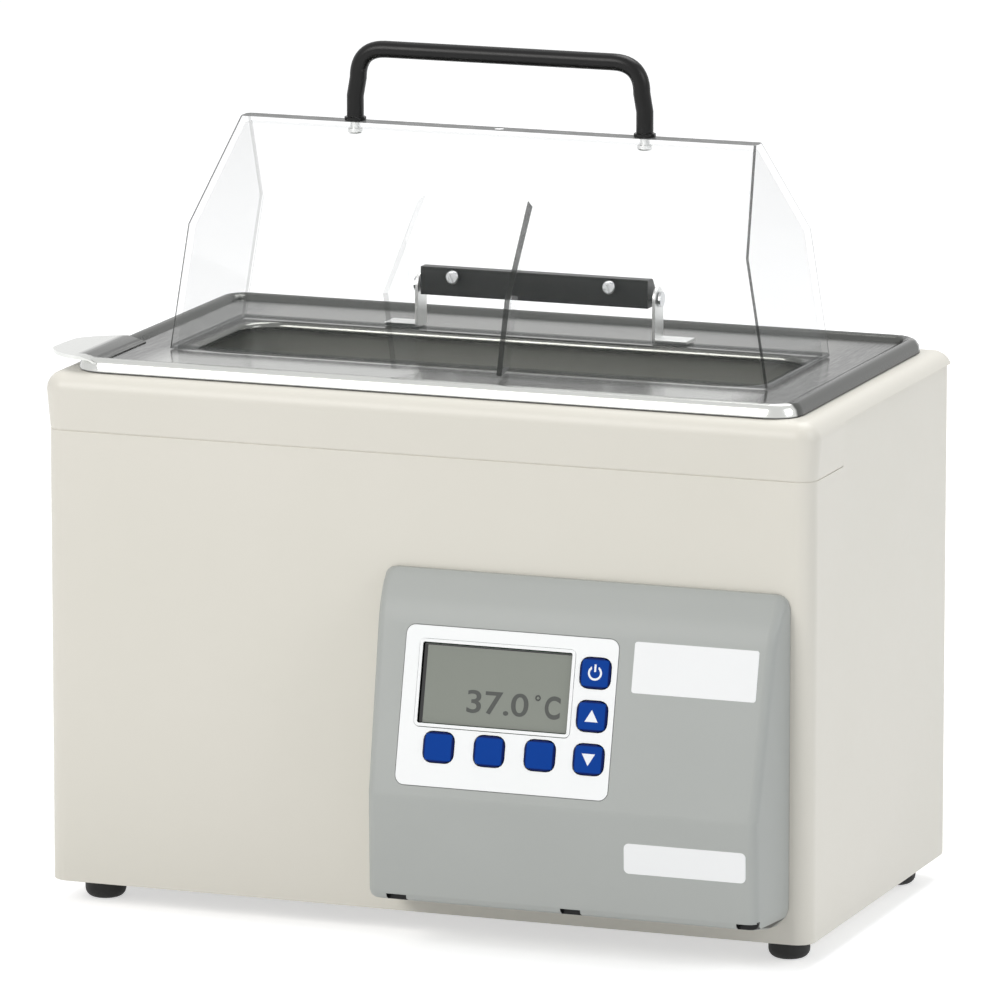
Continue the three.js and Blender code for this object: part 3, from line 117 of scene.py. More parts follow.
# The blank labels in millimetres on their faces: left, right, low and high, then bottom and top
upper_label_sides = (102, 157.5, 51.6, 73.4)
lower_label_sides = (103, 157.4, -25.3, -12.2)
upper_label_corner = 1.2
lower_label_corner = 2.2
label_levels = (-0.1, 0.22)

# The tank's deck with the bead and groove round it and the opening in it, from the deck's centre; these
# mark where the finish's painted reflections and shade change
deck_centre = Vector((3.25, 12.77, 239.5)) * mm
deck_half = Vector((165, 90.5)) * mm
opening_half = 131 * mm
opening_front = -41 * mm
front_deck_ramp = 5 * mm
side_deck_start = opening_half - 4 * mm
side_deck_ramp = 16 * mm
bead_width = 8.2 * mm
bead_ramp = 0.6 * mm
bead_foot = 2.7 * mm
foot_ramp = 0.4 * mm
groove_inset = 8.9 * mm
groove_width = 0.9 * mm
bowl_start = 2 * mm
bowl_ramp = 4 * mm
wall_start = 4 * mm
wall_ramp = 14 * mm
lip_width = 3 * mm

# The gap below the cover's skirt and the strip that shows through it, in millimetres
skirt_gap = (210.72, 211.18)
skirt_end = -42.8
strip_left = -171.4
strip_right = 177.9
strip_front = -82.38
strip_rear = 40
strip_corner = 7.6
strip_wall = 0.8
cutter_reach = 20

# The lid and its handle
stand_level = 240.1 * mm
rim_height = 1.5 * mm
rim_ramp = 0.5 * mm
ridge_y = 9.7676 * mm
middle_x = 3.25 * mm
ridge_top = 338 * mm
lid_front = -32.7 * mm
lid_end_start = opening_half / 2
corner_start = 100 * mm
cheek_reach = 60 * mm
handle_foot = 340.1 * mm
handle_top = 370 * mm
handle_knee = 349.1 * mm
handle_half = 66.75 * mm
handle_half_top = 65.35 * mm
handle_bend = 13 * mm
handle_radius = 3.75 * mm

# Feet
foot_radius = 9 * mm
foot_height = 10.7 * mm
tread_edge = 4 * mm
stem_radius = 3.6 * mm
stem_overlap = 0.5 * mm

# Screws: head radius, head height and shank radius
large_screw = (3.2 * mm, 2.2 * mm, 2 * mm)
small_screw = (3 * mm, 1.6 * mm, 1.5 * mm)

# How far edges are rounded
film_edge = 0.05 * mm
glass_edge = 0.15 * mm
panel_edge = 0.2 * mm
sheet_edge = 0.25 * mm
drawn_edge = 0.3 * mm
console_edge = 0.35 * mm
socket_edge = 0.4 * mm
lid_edge = 0.5 * mm

# Light
floor_size = 14
floor_glow = 0.56
sky_strength = 0.42
lamp_aim = Vector((0, 0, 0.15))


# Finishes

class Wire:
    """A shader value that adds, takes away, multiplies and divides."""

    def __init__(self, finish, socket):
        self.finish = finish
        self.socket = socket

    def math(self, operation, *values):
        return self.finish.add("ShaderNodeMath", {"operation": operation}, dict(enumerate(values)))

    def __add__(self, other):
        return self.math("ADD", self, other)

    def __radd__(self, other):
        return self.math("ADD", other, self)

    def __sub__(self, other):
        return self.math("SUBTRACT", self, other)

    def __rsub__(self, other):
        return self.math("SUBTRACT", other, self)

    def __mul__(self, other):
        return self.math("MULTIPLY", self, other)

    def __rmul__(self, other):
        return self.math("MULTIPLY", other, self)

    def __truediv__(self, other):
        return self.math("DIVIDE", self, other)

    def __pow__(self, other):
        return self.math("POWER", self, other)

    def __neg__(self):
        return self.math("MULTIPLY", self, -1)

    def __abs__(self):
        return self.math("ABSOLUTE", self)

    def above(self, other):
        """The larger of the two."""
        return self.math("MAXIMUM", self, other)

    def clamped(self):
        return self.finish.add("ShaderNodeClamp", None, {0: self})

    def past(self, start, ramp):
        """Nought up to the start, then rising to one over the ramp."""
        return ((self - start) / ramp).clamped()


class Finish:
    """One material, or the world, and the nodes that make it."""

    def __init__(self, name, world=False):
        library = bpy.data.worlds if world else bpy.data.materials
        self.owner = library.new(name)
        self.owner.use_nodes = True
        self.tree = self.owner.node_tree
        self.tree.nodes.clear()

    def add(self, kind, settings=None, sockets=None, output=0):
        """A node of this kind with its settings and sockets filled in, as one output's wire."""
        node = self.tree.nodes.new(kind)
        for name, value in (settings or {}).items():
            setattr(node, name, value)
        for name, value in (sockets or {}).items():
            if isinstance(value, Wire):
                self.tree.links.new(value.socket, node.inputs[name])
            else:
                node.inputs[name].default_value = value
        return Wire(self, node.outputs[output]) if node.outputs else None

    def place(self, centre=(0, 0, 0), turned=(0, 0, 0), stretch=(1, 1, 1)):
        """Object coordinates, moved so that the centre is nought, then turned and stretched."""
        here = self.add("ShaderNodeTexCoord", None, None, "Object")
        moved = self.add("ShaderNodeMapping", {"vector_type": "TEXTURE"}, {
            "Vector": here, "Location": centre, "Rotation": turned,
        })
        return self.add("ShaderNodeVectorMath", {"operation": "MULTIPLY"}, {0: moved, 1: stretch})

    def axis(self, name, where=None):
        return self.add("ShaderNodeSeparateXYZ", None, {0: where or self.place()}, name)

    def noise(self, scale, detail=3.0, roughness=0.5, where=None):
        return self.add("ShaderNodeTexNoise", None, {
            "Vector": where or self.place(), "Scale": scale, "Detail": detail, "Roughness": roughness,
        })

    def facing(self):
        """Nought where the surface is seen face on, one where it is seen along itself."""
        return self.add("ShaderNodeLayerWeight", None, {"Blend": 0.5}, "Facing")

    def looked_at(self):
        """One for rays that see the background straight, mirrored or through glass, else nought."""
        seen, mirrored, through = (
            self.add("ShaderNodeLightPath", None, None, name)
            for name in ("Is Camera Ray", "Is Glossy Ray", "Is Transmission Ray")
        )
        return (seen + mirrored + through).clamped()

    def blend(self, share, first, second):
        return self.add("ShaderNodeMix", {"data_type": "RGBA"}, {0: share, 6: first, 7: second}, 2)

    def bump(self, height, strength, depth):
        return self.add("ShaderNodeBump", None, {
            "Height": height, "Strength": strength, "Distance": depth,
        })

    def surface(self, **sockets):
        """Ends the material in its shader, whose sockets are named with underscores for spaces."""
        named = {name.replace("_", " "): value for name, value in sockets.items()}
        shader = self.add("ShaderNodeBsdfPrincipled", None, named)
        self.add("ShaderNodeOutputMaterial", None, {0: shader})
        return self.owner


def shade(red, green, blue):
    """A colour as the eye reads it, 0 to 255, as light."""
    return tuple((channel / 255 / 1.055 + 0.0521) ** 2.4 for channel in (red, green, blue)) + (1,)


def enamel_finish():
    """Powder coat: a fine orange peel with faint clouding."""
    coat = Finish("warm_white_enamel")
    peel = coat.noise(900, detail=2)
    cloud = coat.noise(9, detail=3)
    return coat.surface(
        Base_Color=coat.blend(cloud, shade(219, 216, 205), shade(226, 222, 213)),
        Roughness=coat.noise(260, detail=2) * 0.1 + 0.36,
        IOR=1.5,
        Normal=coat.bump(peel, strength=0.12, depth=0.1 * mm),
    )


def tank_finish():
    """Pressed sheet, region by region, with painted reflections and shade: a satin bowl painted darker
    near its top, side decks painted with dark streaked reflections, a front bead and lip painted bright
    as reflections, and painted shade in the groove and at the bead's foot.
    """
    sheet = Finish("pressed_stainless")
    streaks = sheet.noise(60, detail=4, roughness=0.6, where=sheet.place(stretch=(1, 22, 22)))
    drawn = sheet.noise(150, detail=3, roughness=0.6, where=sheet.place(stretch=(9, 0.5, 9)))
    cloud = sheet.noise(14, detail=3)
    here = sheet.place(deck_centre)
    x = sheet.axis("X", here)
    y = sheet.axis("Y", here)
    z = sheet.axis("Z", here)
    out = (abs(x) - deck_half.x).above(abs(y) - deck_half.y)
    shadow = shade(18, 18, 18)

    # Painted reflections on one sheet of steel: the rear deck darker, the front deck lighter
    rear_deck_reflection = sheet.blend(cloud, shade(98, 99, 96), shade(134, 135, 131))
    front_deck_reflection = sheet.blend(streaks, shade(160, 161, 158), shade(206, 207, 204))
    # The side decks painted with dark streaked reflections, drawn from the streak noise
    dark_reflection_streaks = ((drawn - 0.36) * 3.4).clamped()
    side_deck_reflection = sheet.blend(dark_reflection_streaks, shade(54, 55, 53), shade(106, 107, 104))
    tone = sheet.blend((-y).past(-opening_front, front_deck_ramp), rear_deck_reflection, front_deck_reflection)
    tone = sheet.blend(abs(x).past(side_deck_start, side_deck_ramp), tone, side_deck_reflection)

    bowl = (-z).past(bowl_start, bowl_ramp)
    # Painted shade down the inside of the bowl: darker near its top, lighter lower down
    wall_shade = sheet.blend((-z).past(wall_start, wall_ramp), shade(122, 123, 118), shade(180, 181, 176))
    tone = sheet.blend(bowl, tone, wall_shade)

    # Painted on the bead: the front bead bright as a reflection, the rest darker, and painted shadow at
    # its foot
    front = (-y).past(deck_half.y - bead_width, mm)
    bead = sheet.blend(front, shade(92, 93, 91), shade(208, 209, 206))
    bead = sheet.blend((-z).past(bead_foot, foot_ramp) * 0.8, bead, shadow)
    tone = sheet.blend(out.past(-bead_width, bead_ramp), tone, bead)
    # The pour lip painted bright as a reflection
    tone = sheet.blend((-x).past(deck_half.x - lip_width, lip_width), tone, shade(220, 221, 218))

    # Painted shade along the groove's crease
    groove = 1 - (abs(out + groove_inset) / groove_width).clamped()
    return sheet.surface(
        Base_Color=sheet.blend(groove * 0.92, tone, shadow),
        Metallic=1.0,
        Roughness=streaks * 0.14 + bowl * 0.24 + 0.12,
        Normal=sheet.bump(streaks, strength=0.05, depth=0.05 * mm),
    )


def plastic_finish(name, low, high, roughness, grain, relief, gloss=0.5):
    """A moulding with a fine spark-eroded grain, its colour between low and high."""
    moulding = Finish(name)
    grains = moulding.noise(grain, detail=2)
    tone = moulding.noise(18, detail=3)
    return moulding.surface(
        Base_Color=moulding.blend(tone, shade(*low), shade(*high)),
        Roughness=grains * 0.14 + roughness,
        Specular_IOR_Level=gloss,
        Normal=moulding.bump(grains, strength=relief, depth=0.1 * mm),
    )


def clear_finish(name, tint, least, most):
    """Clear sheet: almost nothing face on, greyer along its surface and at the lid's lower rim."""
    clear = Finish(name)
    haze = clear.noise(22, detail=3)
    grazing = clear.facing() ** 5
    rim = (-clear.axis("Z")).past(-(stand_level + rim_height), rim_ramp)
    return clear.surface(
        Base_Color=clear.blend(grazing.above(rim).clamped(), shade(*tint), shade(70, 73, 73)),
        Roughness=haze * 0.03 + 0.02,
        IOR=1.49,
        Alpha=(grazing * most + rim * 0.45 + haze * 0.008 + least).clamped(),
    )


def edge_finish(name, least, along_only=False):
    """Clear sheet seen through its thickness: dark, or dark only where it is seen along itself."""
    edge = Finish(name)
    streak = edge.noise(130, detail=3)
    cover = streak * 0.1 + least
    if along_only:
        cover = ((edge.facing() - 0.5) * 3.4).clamped() * cover
    return edge.surface(
        Base_Color=edge.blend(streak, shade(30, 31, 30), shade(66, 68, 66)),
        Roughness=streak * 0.2 + 0.2,
        Specular_IOR_Level=0.12,
        Alpha=cover,
    )


def rubber_finish():
    """Moulded rubber, dull and slightly dusty."""
    rubber = Finish("black_rubber")
    dust = rubber.noise(70, detail=4)
    return rubber.surface(
        Base_Color=rubber.blend(dust, shade(16, 16, 16), shade(34, 34, 33)),
        Roughness=dust * 0.2 + 0.55,
        Normal=rubber.bump(rubber.noise(1500, detail=2), strength=0.2, depth=0.1 * mm),
    )


def metal_finish(name, low, high, roughness, grain):
    """Bare metal with a fine turned or cast texture, its colour between low and high."""
    metal = Finish(name)
    grains = metal.noise(grain, detail=3)
    return metal.surface(
        Base_Color=metal.blend(grains, shade(*low), shade(*high)),
        Metallic=1.0,
        Roughness=grains * 0.15 + roughness,
        Normal=metal.bump(grains, strength=0.05, depth=0.1 * mm),
    )


def wool_finish():
    """Pressed mineral wool: long tangled fibres."""
    wool = Finish("mineral_wool")
    fibres = wool.noise(160, detail=5, roughness=0.7, where=wool.place(stretch=(1, 1, 5)))
    return wool.surface(
        Base_Color=wool.blend(fibres, shade(150, 138, 96), shade(214, 204, 160)),
        Roughness=0.95,
        Normal=wool.bump(fibres, strength=0.7, depth=2 * mm),
    )


def board_finish():
    """Green solder mask with copper runs showing under it."""
    board = Finish("circuit_board")
    black = (0, 0, 0, 1)
    white = (1, 1, 1, 1)
    runs = board.add("ShaderNodeTexBrick", {"offset": 0.37}, {
        "Vector": board.place(), "Scale": 90.0, "Mortar Size": 0.03,
        "Color1": black, "Color2": black, "Mortar": white,
    })
    return board.surface(
        Base_Color=board.blend(runs, shade(18, 74, 42), shade(46, 112, 62)),
        Roughness=board.noise(300) * 0.1 + 0.35,
    )


def display_finish():
    """Display glass: grey-green with fine dots, and painted shadow of its recess along its left and
    upper sides.
    """
    glass = Finish("display_glass")
    here = glass.place(brow, (slope_lean, 0, 0))
    dots = glass.add("ShaderNodeTexChecker", None, {"Vector": here, "Scale": 1900.0}, "Fac")
    tone = glass.noise(6, detail=1) * 0.9 + dots * 0.1
    lit = glass.blend(tone, shade(122, 127, 118), shade(140, 144, 135))
    # Painted shadow of the recess on the glass's left and upper sides
    left = (-glass.axis("X", here)).past(-(window_left + left_shadow), shadow_ramp)
    top = glass.axis("Y", here).past(window_high - top_shadow, shadow_ramp)
    return glass.surface(
        Base_Color=glass.blend(left.above(top), lit, shade(12, 12, 12)),
        Roughness=0.16,
        Coat_Weight=0.4,
        Coat_Roughness=0.04,
    )


def key_finish(node):
    """Blue key top with a darker border printed round it."""
    u, v = key_places[node]
    key = Finish(node + "_blue")
    centre = slope @ Vector((u * mm, v * mm, 0))
    here = key.place(centre, (slope_lean, 0, 0))
    across = abs(key.axis("X", here)) - (key_half.x - key_border)
    up = abs(key.axis("Y", here)) - (key_half.y - key_border)
    border = across.above(up).past(0, 0.5 * mm)
    grain = key.noise(1200, detail=2)
    return key.surface(
        Base_Color=key.blend(border, shade(0, 62, 150), shade(4, 26, 88)),
        Roughness=grain * 0.12 + 0.3,
        Specular_IOR_Level=0.08,
        Normal=key.bump(grain, strength=0.08, depth=0.1 * mm),
    )


enamel = enamel_finish()
tank_steel = tank_finish()
grey_plastic = plastic_finish(
    "grey_console", (168, 171, 168), (174, 177, 174),
    roughness=0.42, grain=1600, relief=0.14,
)
black_plastic = plastic_finish(
    "black_moulding", (12, 12, 12), (20, 20, 20),
    roughness=0.26, grain=1200, relief=0.06, gloss=0.25,
)
white_film = plastic_finish(
    "white_keypad_film", (245, 247, 247), (250, 251, 251),
    roughness=0.3, grain=1800, relief=0.05,
)
label_white = plastic_finish(
    "blank_label", (240, 241, 242), (246, 247, 247),
    roughness=0.28, grain=700, relief=0.03,
)
display_ink = plastic_finish(
    "display_digits", (60, 63, 60), (68, 71, 67),
    roughness=0.4, grain=900, relief=0.02,
)
key_white = plastic_finish(
    "key_marks", (236, 240, 246), (244, 246, 250),
    roughness=0.35, grain=900, relief=0.02,
)
silicone = plastic_finish(
    "red_silicone", (168, 74, 40), (186, 88, 50),
    roughness=0.55, grain=500, relief=0.12,
)
lead_sheath = plastic_finish(
    "lead_sheath", (132, 134, 136), (146, 148, 150),
    roughness=0.5, grain=700, relief=0.05,
)
clear_plastic = clear_finish("clear_lid", (150, 155, 154), least=0.03, most=0.28)
clear_end = clear_finish("clear_lid_end", (120, 124, 123), least=0.08, most=0.3)
clear_cheek = clear_finish("clear_cheek", (120, 124, 123), least=0.05, most=0.3)
clear_edge = edge_finish("clear_lid_edge", least=0.78)
clear_ridge = edge_finish("clear_lid_ridge", least=0.86, along_only=True)
clear_corner = edge_finish("clear_far_corner", least=0.24)
clear_fading = edge_finish("clear_fading_edge", least=0.1)
bright_steel = metal_finish(
    "bright_sheet", (222, 223, 222), (238, 239, 238), roughness=0.3, grain=300,
)
screw_steel = metal_finish(
    "bright_screw", (186, 188, 190), (208, 209, 210), roughness=0.16, grain=900,
)
brass = metal_finish(
    "plain_brass", (176, 142, 70), (206, 172, 92), roughness=0.25, grain=500,
)
aluminium = metal_finish(
    "extruded_aluminium", (150, 154, 158), (176, 180, 184), roughness=0.3, grain=400,
)
core_iron = metal_finish(
    "varnished_core", (54, 54, 56), (84, 80, 74), roughness=0.42, grain=300,
)
rubber = rubber_finish()
wool = wool_finish()
board = board_finish()
display_glass = display_finish()

# Nodes that keep their own shape and only get a finish
carried_over = {
    "tank_gasket": silicone,
    "heater_mat": silicone,
    "tank_jacket": wool,
    "overheat_cutout": black_plastic,
    "temperature_probe": screw_steel,
    "tank_bridge_left": bright_steel,
    "tank_bridge_right": bright_steel,
    "handle_washer_left": black_plastic,
    "handle_washer_right": black_plastic,
    "hinge_pin": screw_steel,
    "console_screw_upper_left": screw_steel,
    "console_screw_upper_right": screw_steel,
    "console_screw_lower_left": screw_steel,
    "console_screw_lower_right": screw_steel,
    "display_module": board,
    "keypad_board": board,
    "inlet_contacts": brass,
    "power_board": board,
    "transformer": core_iron,
    "triac_heat_sink": aluminium,
    "heater_relay": black_plastic,
    "heater_lead": lead_sheath,
    "mains_lead": lead_sheath,
    "keypad_ribbon": lead_sheath,
}


# Making pieces

def deselect():
    bpy.ops.object.select_all(action="DESELECT")


def pick(piece):
    """Leaves the piece alone selected and active."""
    deselect()
    piece.select_set(True)
    bpy.context.view_layer.objects.active = piece


def apply_modifier(piece, kind, **settings):
    pick(piece)
    modifier = piece.modifiers.new(kind.lower(), kind)
    for name, value in settings.items():
        setattr(modifier, name, value)
    bpy.ops.object.modifier_apply(modifier=modifier.name)


def cut_away(piece, cutter):
    """Takes the cutter's shape out of the piece, and the cutter out of the scene."""
    apply_modifier(piece, "BOOLEAN", operation="DIFFERENCE", object=cutter, solver="EXACT")
    bpy.data.objects.remove(cutter)


def smooth(piece, angle=32):
    """Smooth shading across shallow folds, with the large flats left flat."""
    pick(piece)
    bpy.ops.object.shade_smooth_by_angle(angle=math.radians(angle))
    apply_modifier(piece, "WEIGHTED_NORMAL", keep_sharp=True)


def settle(piece):
    """Puts the piece's place into its mesh, with the object itself at the origin."""
    pick(piece)
    bpy.ops.object.transform_apply(location=True, rotation=True, scale=True)


def dress(piece, body, slot, *finishes):
    piece.data.materials.clear()
    for finish in finishes:
        piece.data.materials.append(finish)
    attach(piece, body)


def copied(node, name):
    """A node's own surface as a new piece, its triangles joined into whole faces."""
    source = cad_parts[node]
    mesh = source.data.copy()
    mesh.transform(source.matrix_world)
    piece = bpy.data.objects.new(name, mesh)
    bpy.context.scene.collection.objects.link(piece)
    pick(piece)
    bpy.ops.mesh.customdata_custom_splitnormals_clear()
    bpy.ops.object.mode_set(mode="EDIT")
    bpy.ops.mesh.select_all(action="SELECT")
    bpy.ops.mesh.remove_doubles(threshold=hairline)
    bpy.ops.mesh.dissolve_limited(angle_limit=math.radians(0.6))
    bpy.ops.object.mode_set(mode="OBJECT")
    return piece


def eased(node, name, body, slot, edge, *finishes, angle=34, segments=2, fold=32):
    """A node's surface with its edges rounded; the last of several finishes goes on the edges."""
    piece = copied(node, name)
    apply_modifier(
        piece, "BEVEL", width=edge, segments=segments, limit_method="ANGLE",
        angle_limit=math.radians(angle), use_clamp_overlap=True,
        material=len(finishes) - 1 if len(finishes) > 1 else -1,
    )
    smooth(piece, fold)
    dress(piece, body, slot, *finishes)
    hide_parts(node)
    return piece


def tint_faces(piece, finish, wanted):
    """Gives one more finish to the faces whose normal and centre pass a test."""
    piece.data.materials.append(finish)
    index = len(piece.data.materials) - 1
    for face in piece.data.polygons:
        if wanted(face.normal, face.center):
            face.material_index = index


def off_window(normal, centre):
    """Whether a face of the display's rim looks away from the window."""
    facing = slope.inverted().to_3x3() @ normal
    across = (slope.inverted() @ centre).to_2d() - window_middle
    return facing.z > 0.5 or facing.to_2d().dot(across) > 0


def in_notch(normal, centre):
    """Whether a face of the console lies inside one of the three slots in its toe."""
    across = min(abs(centre.x - notch_middle - step * notch_spacing) for step in (-1, 0, 1))
    return across < notch_half and abs(centre.z - toe_height) < notch_rise and centre.y > toe_front


def lid_region(normal, centre):
    """The finish of a lid's face, from where it is and the way it looks, or None."""
    side = centre.x - middle_x
    sideways = abs(normal.x)
    cheek_rim = sideways < 0.5 and centre.y < lid_front - mm
    cheek = sideways > 0.8 and abs(side) < cheek_reach
    upright_corner = sideways > 0.3 and abs(normal.y) > 0.3 and abs(side) > corner_start
    ridge = normal.z > 0.9 and centre.z > ridge_top - mm
    end = sideways > 0.5 and abs(side) > lid_end_start
    if cheek_rim and side >= 0:
        return clear_edge
    if cheek_rim:
        return clear_fading if normal.z > 0.25 else clear_corner
    if cheek:
        return clear_cheek
    if upright_corner:
        return clear_corner if normal.y > 0 else clear_edge
    if ridge:
        return clear_ridge
    return clear_end if end else None


def select_edges(piece, wanted):
    """Selects in edit mode the edges whose middle and direction pass a test."""
    pick(piece)
    mesh = piece.data
    for vertex in mesh.vertices:
        vertex.select = False
    for face in mesh.polygons:
        face.select = False
    for edge in mesh.edges:
        first, second = (mesh.vertices[index].co for index in edge.vertices)
        edge.select = wanted((first + second) / 2, second - first)
    bpy.ops.object.mode_set(mode="EDIT")
    bpy.ops.mesh.select_mode(type="EDGE")


def bevel_edges(piece, wanted, offset, segments):
    select_edges(piece, wanted)
    bpy.ops.mesh.bevel(offset=offset, segments=segments)
    bpy.ops.object.mode_set(mode="OBJECT")


def joined(name, *pieces):
    deselect()
    for piece in pieces:
        piece.select_set(True)
    bpy.context.view_layer.objects.active = pieces[0]
    bpy.ops.object.join()
    pieces[0].name = name
    return pieces[0]


def make_foot(node):
    """Turned rubber foot with a round tread edge, and its stem through the pan."""
    low, high = (Vector(corner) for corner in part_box(node))
    centre = (low + high) / 2
    stem_low = foot_height - stem_overlap
    deselect()
    bpy.ops.mesh.primitive_cylinder_add(
        vertices=48, radius=foot_radius, depth=foot_height,
        location=(centre.x, centre.y, foot_height / 2),
    )
    tread = bpy.context.object
    settle(tread)
    bevel_edges(
        tread, lambda middle, along: middle.z < 0.1 * mm and abs(along.z) < hairline,
        offset=tread_edge, segments=7,
    )
    deselect()
    bpy.ops.mesh.primitive_cylinder_add(
        vertices=24, radius=stem_radius, depth=high.z - stem_low,
        location=(centre.x, centre.y, (high.z + stem_low) / 2),
    )
    stem = bpy.context.object
    settle(stem)
    foot = joined(node + "_turned", tread, stem)
    smooth(foot, 40)
    dress(foot, "housing", "rubber", rubber)
    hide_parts(node)


def make_handle():
    """The bar handle: one round bar bent at two corners."""
    deselect()
    bpy.ops.curve.primitive_bezier_curve_add()
    bar = bpy.context.object
    bar.name = "bar_handle"
    curve = bar.data
    curve.splines.clear()
    steps = 12
    points = []
    for side in (-1, 1):
        leg = [(side * handle_half, handle_foot), (side * handle_half, handle_knee)]
        start = Vector((side * handle_half_top, handle_top - handle_bend))
        corner = Vector((side * handle_half_top, handle_top))
        end = Vector((side * (handle_half_top - handle_bend), handle_top))
        for step in range(steps + 1):
            share = step / steps
            leg.append(start * (1 - share) ** 2 + corner * 2 * share * (1 - share) + end * share ** 2)
        points.extend(leg if side < 0 else reversed(leg))
    spline = curve.splines.new("POLY")
    spline.points.add(len(points) - 1)
    for point, (x, z) in zip(spline.points, points):
        point.co = (middle_x + x, ridge_y, z, 1)
    curve.dimensions = "3D"
    curve.bevel_depth = handle_radius
    curve.bevel_resolution = 8
    curve.use_fill_caps = True
    pick(bar)
    bpy.ops.object.convert(target="MESH")
    settle(bar)
    smooth(bar, 40)
    dress(bar, "lid", "black_plastic", black_plastic)
    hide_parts("lid_handle")


def make_screw(node, body, outward, sizes, finish=screw_steel):
    """Pan-head screw with a cross recess, its head at the node's outward end."""
    head_radius, head_height, shank_radius = sizes
    low, high = (Vector(corner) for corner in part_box(node))
    axis = Vector(outward)
    reach = abs((high - low).dot(axis))
    tip = (low + high) / 2 + axis * reach / 2
    turned = Vector((0, 0, 1)).rotation_difference(axis).to_matrix().to_4x4()
    deselect()
    bpy.ops.mesh.primitive_cylinder_add(vertices=40, radius=head_radius, depth=head_height)
    head = bpy.context.object
    bevel_edges(
        head, lambda middle, along: middle.z > head_height * 0.4 and abs(along.z) < hairline,
        offset=head_height * 0.45, segments=4,
    )
    for arm_turn in (0, math.pi / 2):
        deselect()
        bpy.ops.mesh.primitive_cube_add(
            size=1, location=(0, 0, head_height * 0.5), rotation=(0, 0, arm_turn + 0.4),
            scale=(head_radius * 1.1, head_radius * 0.22, head_height * 0.9),
        )
        cut_away(head, bpy.context.object)
    head.matrix_world = Matrix.Translation(tip - axis * head_height / 2) @ turned
    settle(head)
    deselect()
    length = reach - head_height / 2
    bpy.ops.mesh.primitive_cylinder_add(vertices=20, radius=shank_radius, depth=length)
    shank = bpy.context.object
    shank.matrix_world = Matrix.Translation(tip - axis * (reach - length / 2)) @ turned
    settle(shank)
    screw = joined(node + "_cross", head, shank)
    smooth(screw, 35)
    dress(screw, body, "screw_steel", finish)
    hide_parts(node)


def rounded_plate(name, face, left, right, low, high, corner, bottom, top):
    """A thin plate with round corners on a face, its sizes in millimetres."""
    deselect()
    bpy.ops.mesh.primitive_cube_add(
        size=1, location=((left + right) / 2 * mm, (low + high) / 2 * mm, (bottom + top) / 2 * mm),
        scale=((right - left) * mm, (high - low) * mm, (top - bottom) * mm),
    )
    plate = bpy.context.object
    plate.name = name
    settle(plate)
    bevel_edges(
        plate, lambda middle, along: abs(along.z) > abs(along.x) + abs(along.y),
        offset=corner * mm, segments=6,
    )
    plate.matrix_world = face
    settle(plate)
    smooth(plate, 35)
    return plate


def make_letters(body, left, right, weight):
    """Flat letters stretched over the reading's height, from left to right in millimetres."""
    deselect()
    bpy.ops.object.text_add()
    letters = bpy.context.object
    letters.data.body = body
    letters.data.extrude = print_height
    letters.data.offset = weight
    pick(letters)
    bpy.ops.object.convert(target="MESH")
    across = [vertex.co.x for vertex in letters.data.vertices]
    up = [vertex.co.y for vertex in letters.data.vertices]
    wide = (right - left) / (max(across) - min(across))
    tall = (reading_high - reading_low) / (max(up) - min(up))
    for vertex in letters.data.vertices:
        vertex.co.x = (left + (vertex.co.x - min(across)) * wide) * mm
        vertex.co.y = (reading_low + (vertex.co.y - min(up)) * tall) * mm
        vertex.co.z = window_top + max(vertex.co.z, 0)
    return letters


def make_reading():
    """The display's digits, degree ring and unit, thin and dark on the glass."""
    digits = make_letters("37.0", digits_left, digits_right, weight=0.012)
    unit = make_letters("C", unit_left, unit_right, weight=0.028)
    u, v = degree_place
    deselect()
    bpy.ops.mesh.primitive_torus_add(
        major_segments=24, minor_segments=6, major_radius=degree_radius * mm,
        minor_radius=degree_line * mm, location=(u * mm, v * mm, window_top),
    )
    degree = bpy.context.object
    settle(degree)
    reading = joined("display_reading", digits, unit, degree)
    reading.matrix_world = slope
    settle(reading)
    dress(reading, "housing", "black_plastic", display_ink)


def make_seam_backing():
    """A strip just behind the gap under the skirt, so that the gap shows paint."""
    low, high = skirt_gap
    flat = Matrix.Identity(4)
    strip = rounded_plate(
        "skirt_gap_backing", flat, strip_left, strip_right, strip_front, strip_rear,
        strip_corner, low, high,
    )
    inside = rounded_plate(
        "strip_inside", flat, strip_left + strip_wall, strip_right - strip_wall,
        strip_front + strip_wall, strip_rear + cutter_reach,
        strip_corner - strip_wall, low - cutter_reach, high + cutter_reach,
    )
    behind = rounded_plate(
        "strip_behind", flat, strip_left - cutter_reach, strip_right + cutter_reach,
        skirt_end, strip_rear + cutter_reach,
        1, low - cutter_reach, high + cutter_reach,
    )
    cut_away(strip, inside)
    cut_away(strip, behind)
    dress(strip, "housing", "enamel", enamel)


def make_arrow(node, pointing):
    """A white triangle printed on a key, pointing up for 1 and down for -1."""
    u, v = key_places[node]
    radius = 3.4 * mm
    sunk = 0.7 * pointing
    deselect()
    bpy.ops.mesh.primitive_cylinder_add(vertices=3, radius=radius, depth=print_height)
    arrow = bpy.context.object
    arrow.name = node + "_mark"
    points_up = max(vertex.co.y for vertex in arrow.data.vertices) > radius * 0.9
    spin = 0 if points_up == (pointing > 0) else math.pi
    seat = Matrix.Translation((u * mm, (v - sunk) * mm, key_top + print_height / 2))
    arrow.matrix_world = slope @ seat @ Matrix.Rotation(spin, 4, "Z")
    settle(arrow)
    dress(arrow, key_bodies[node], "white_film", key_white)


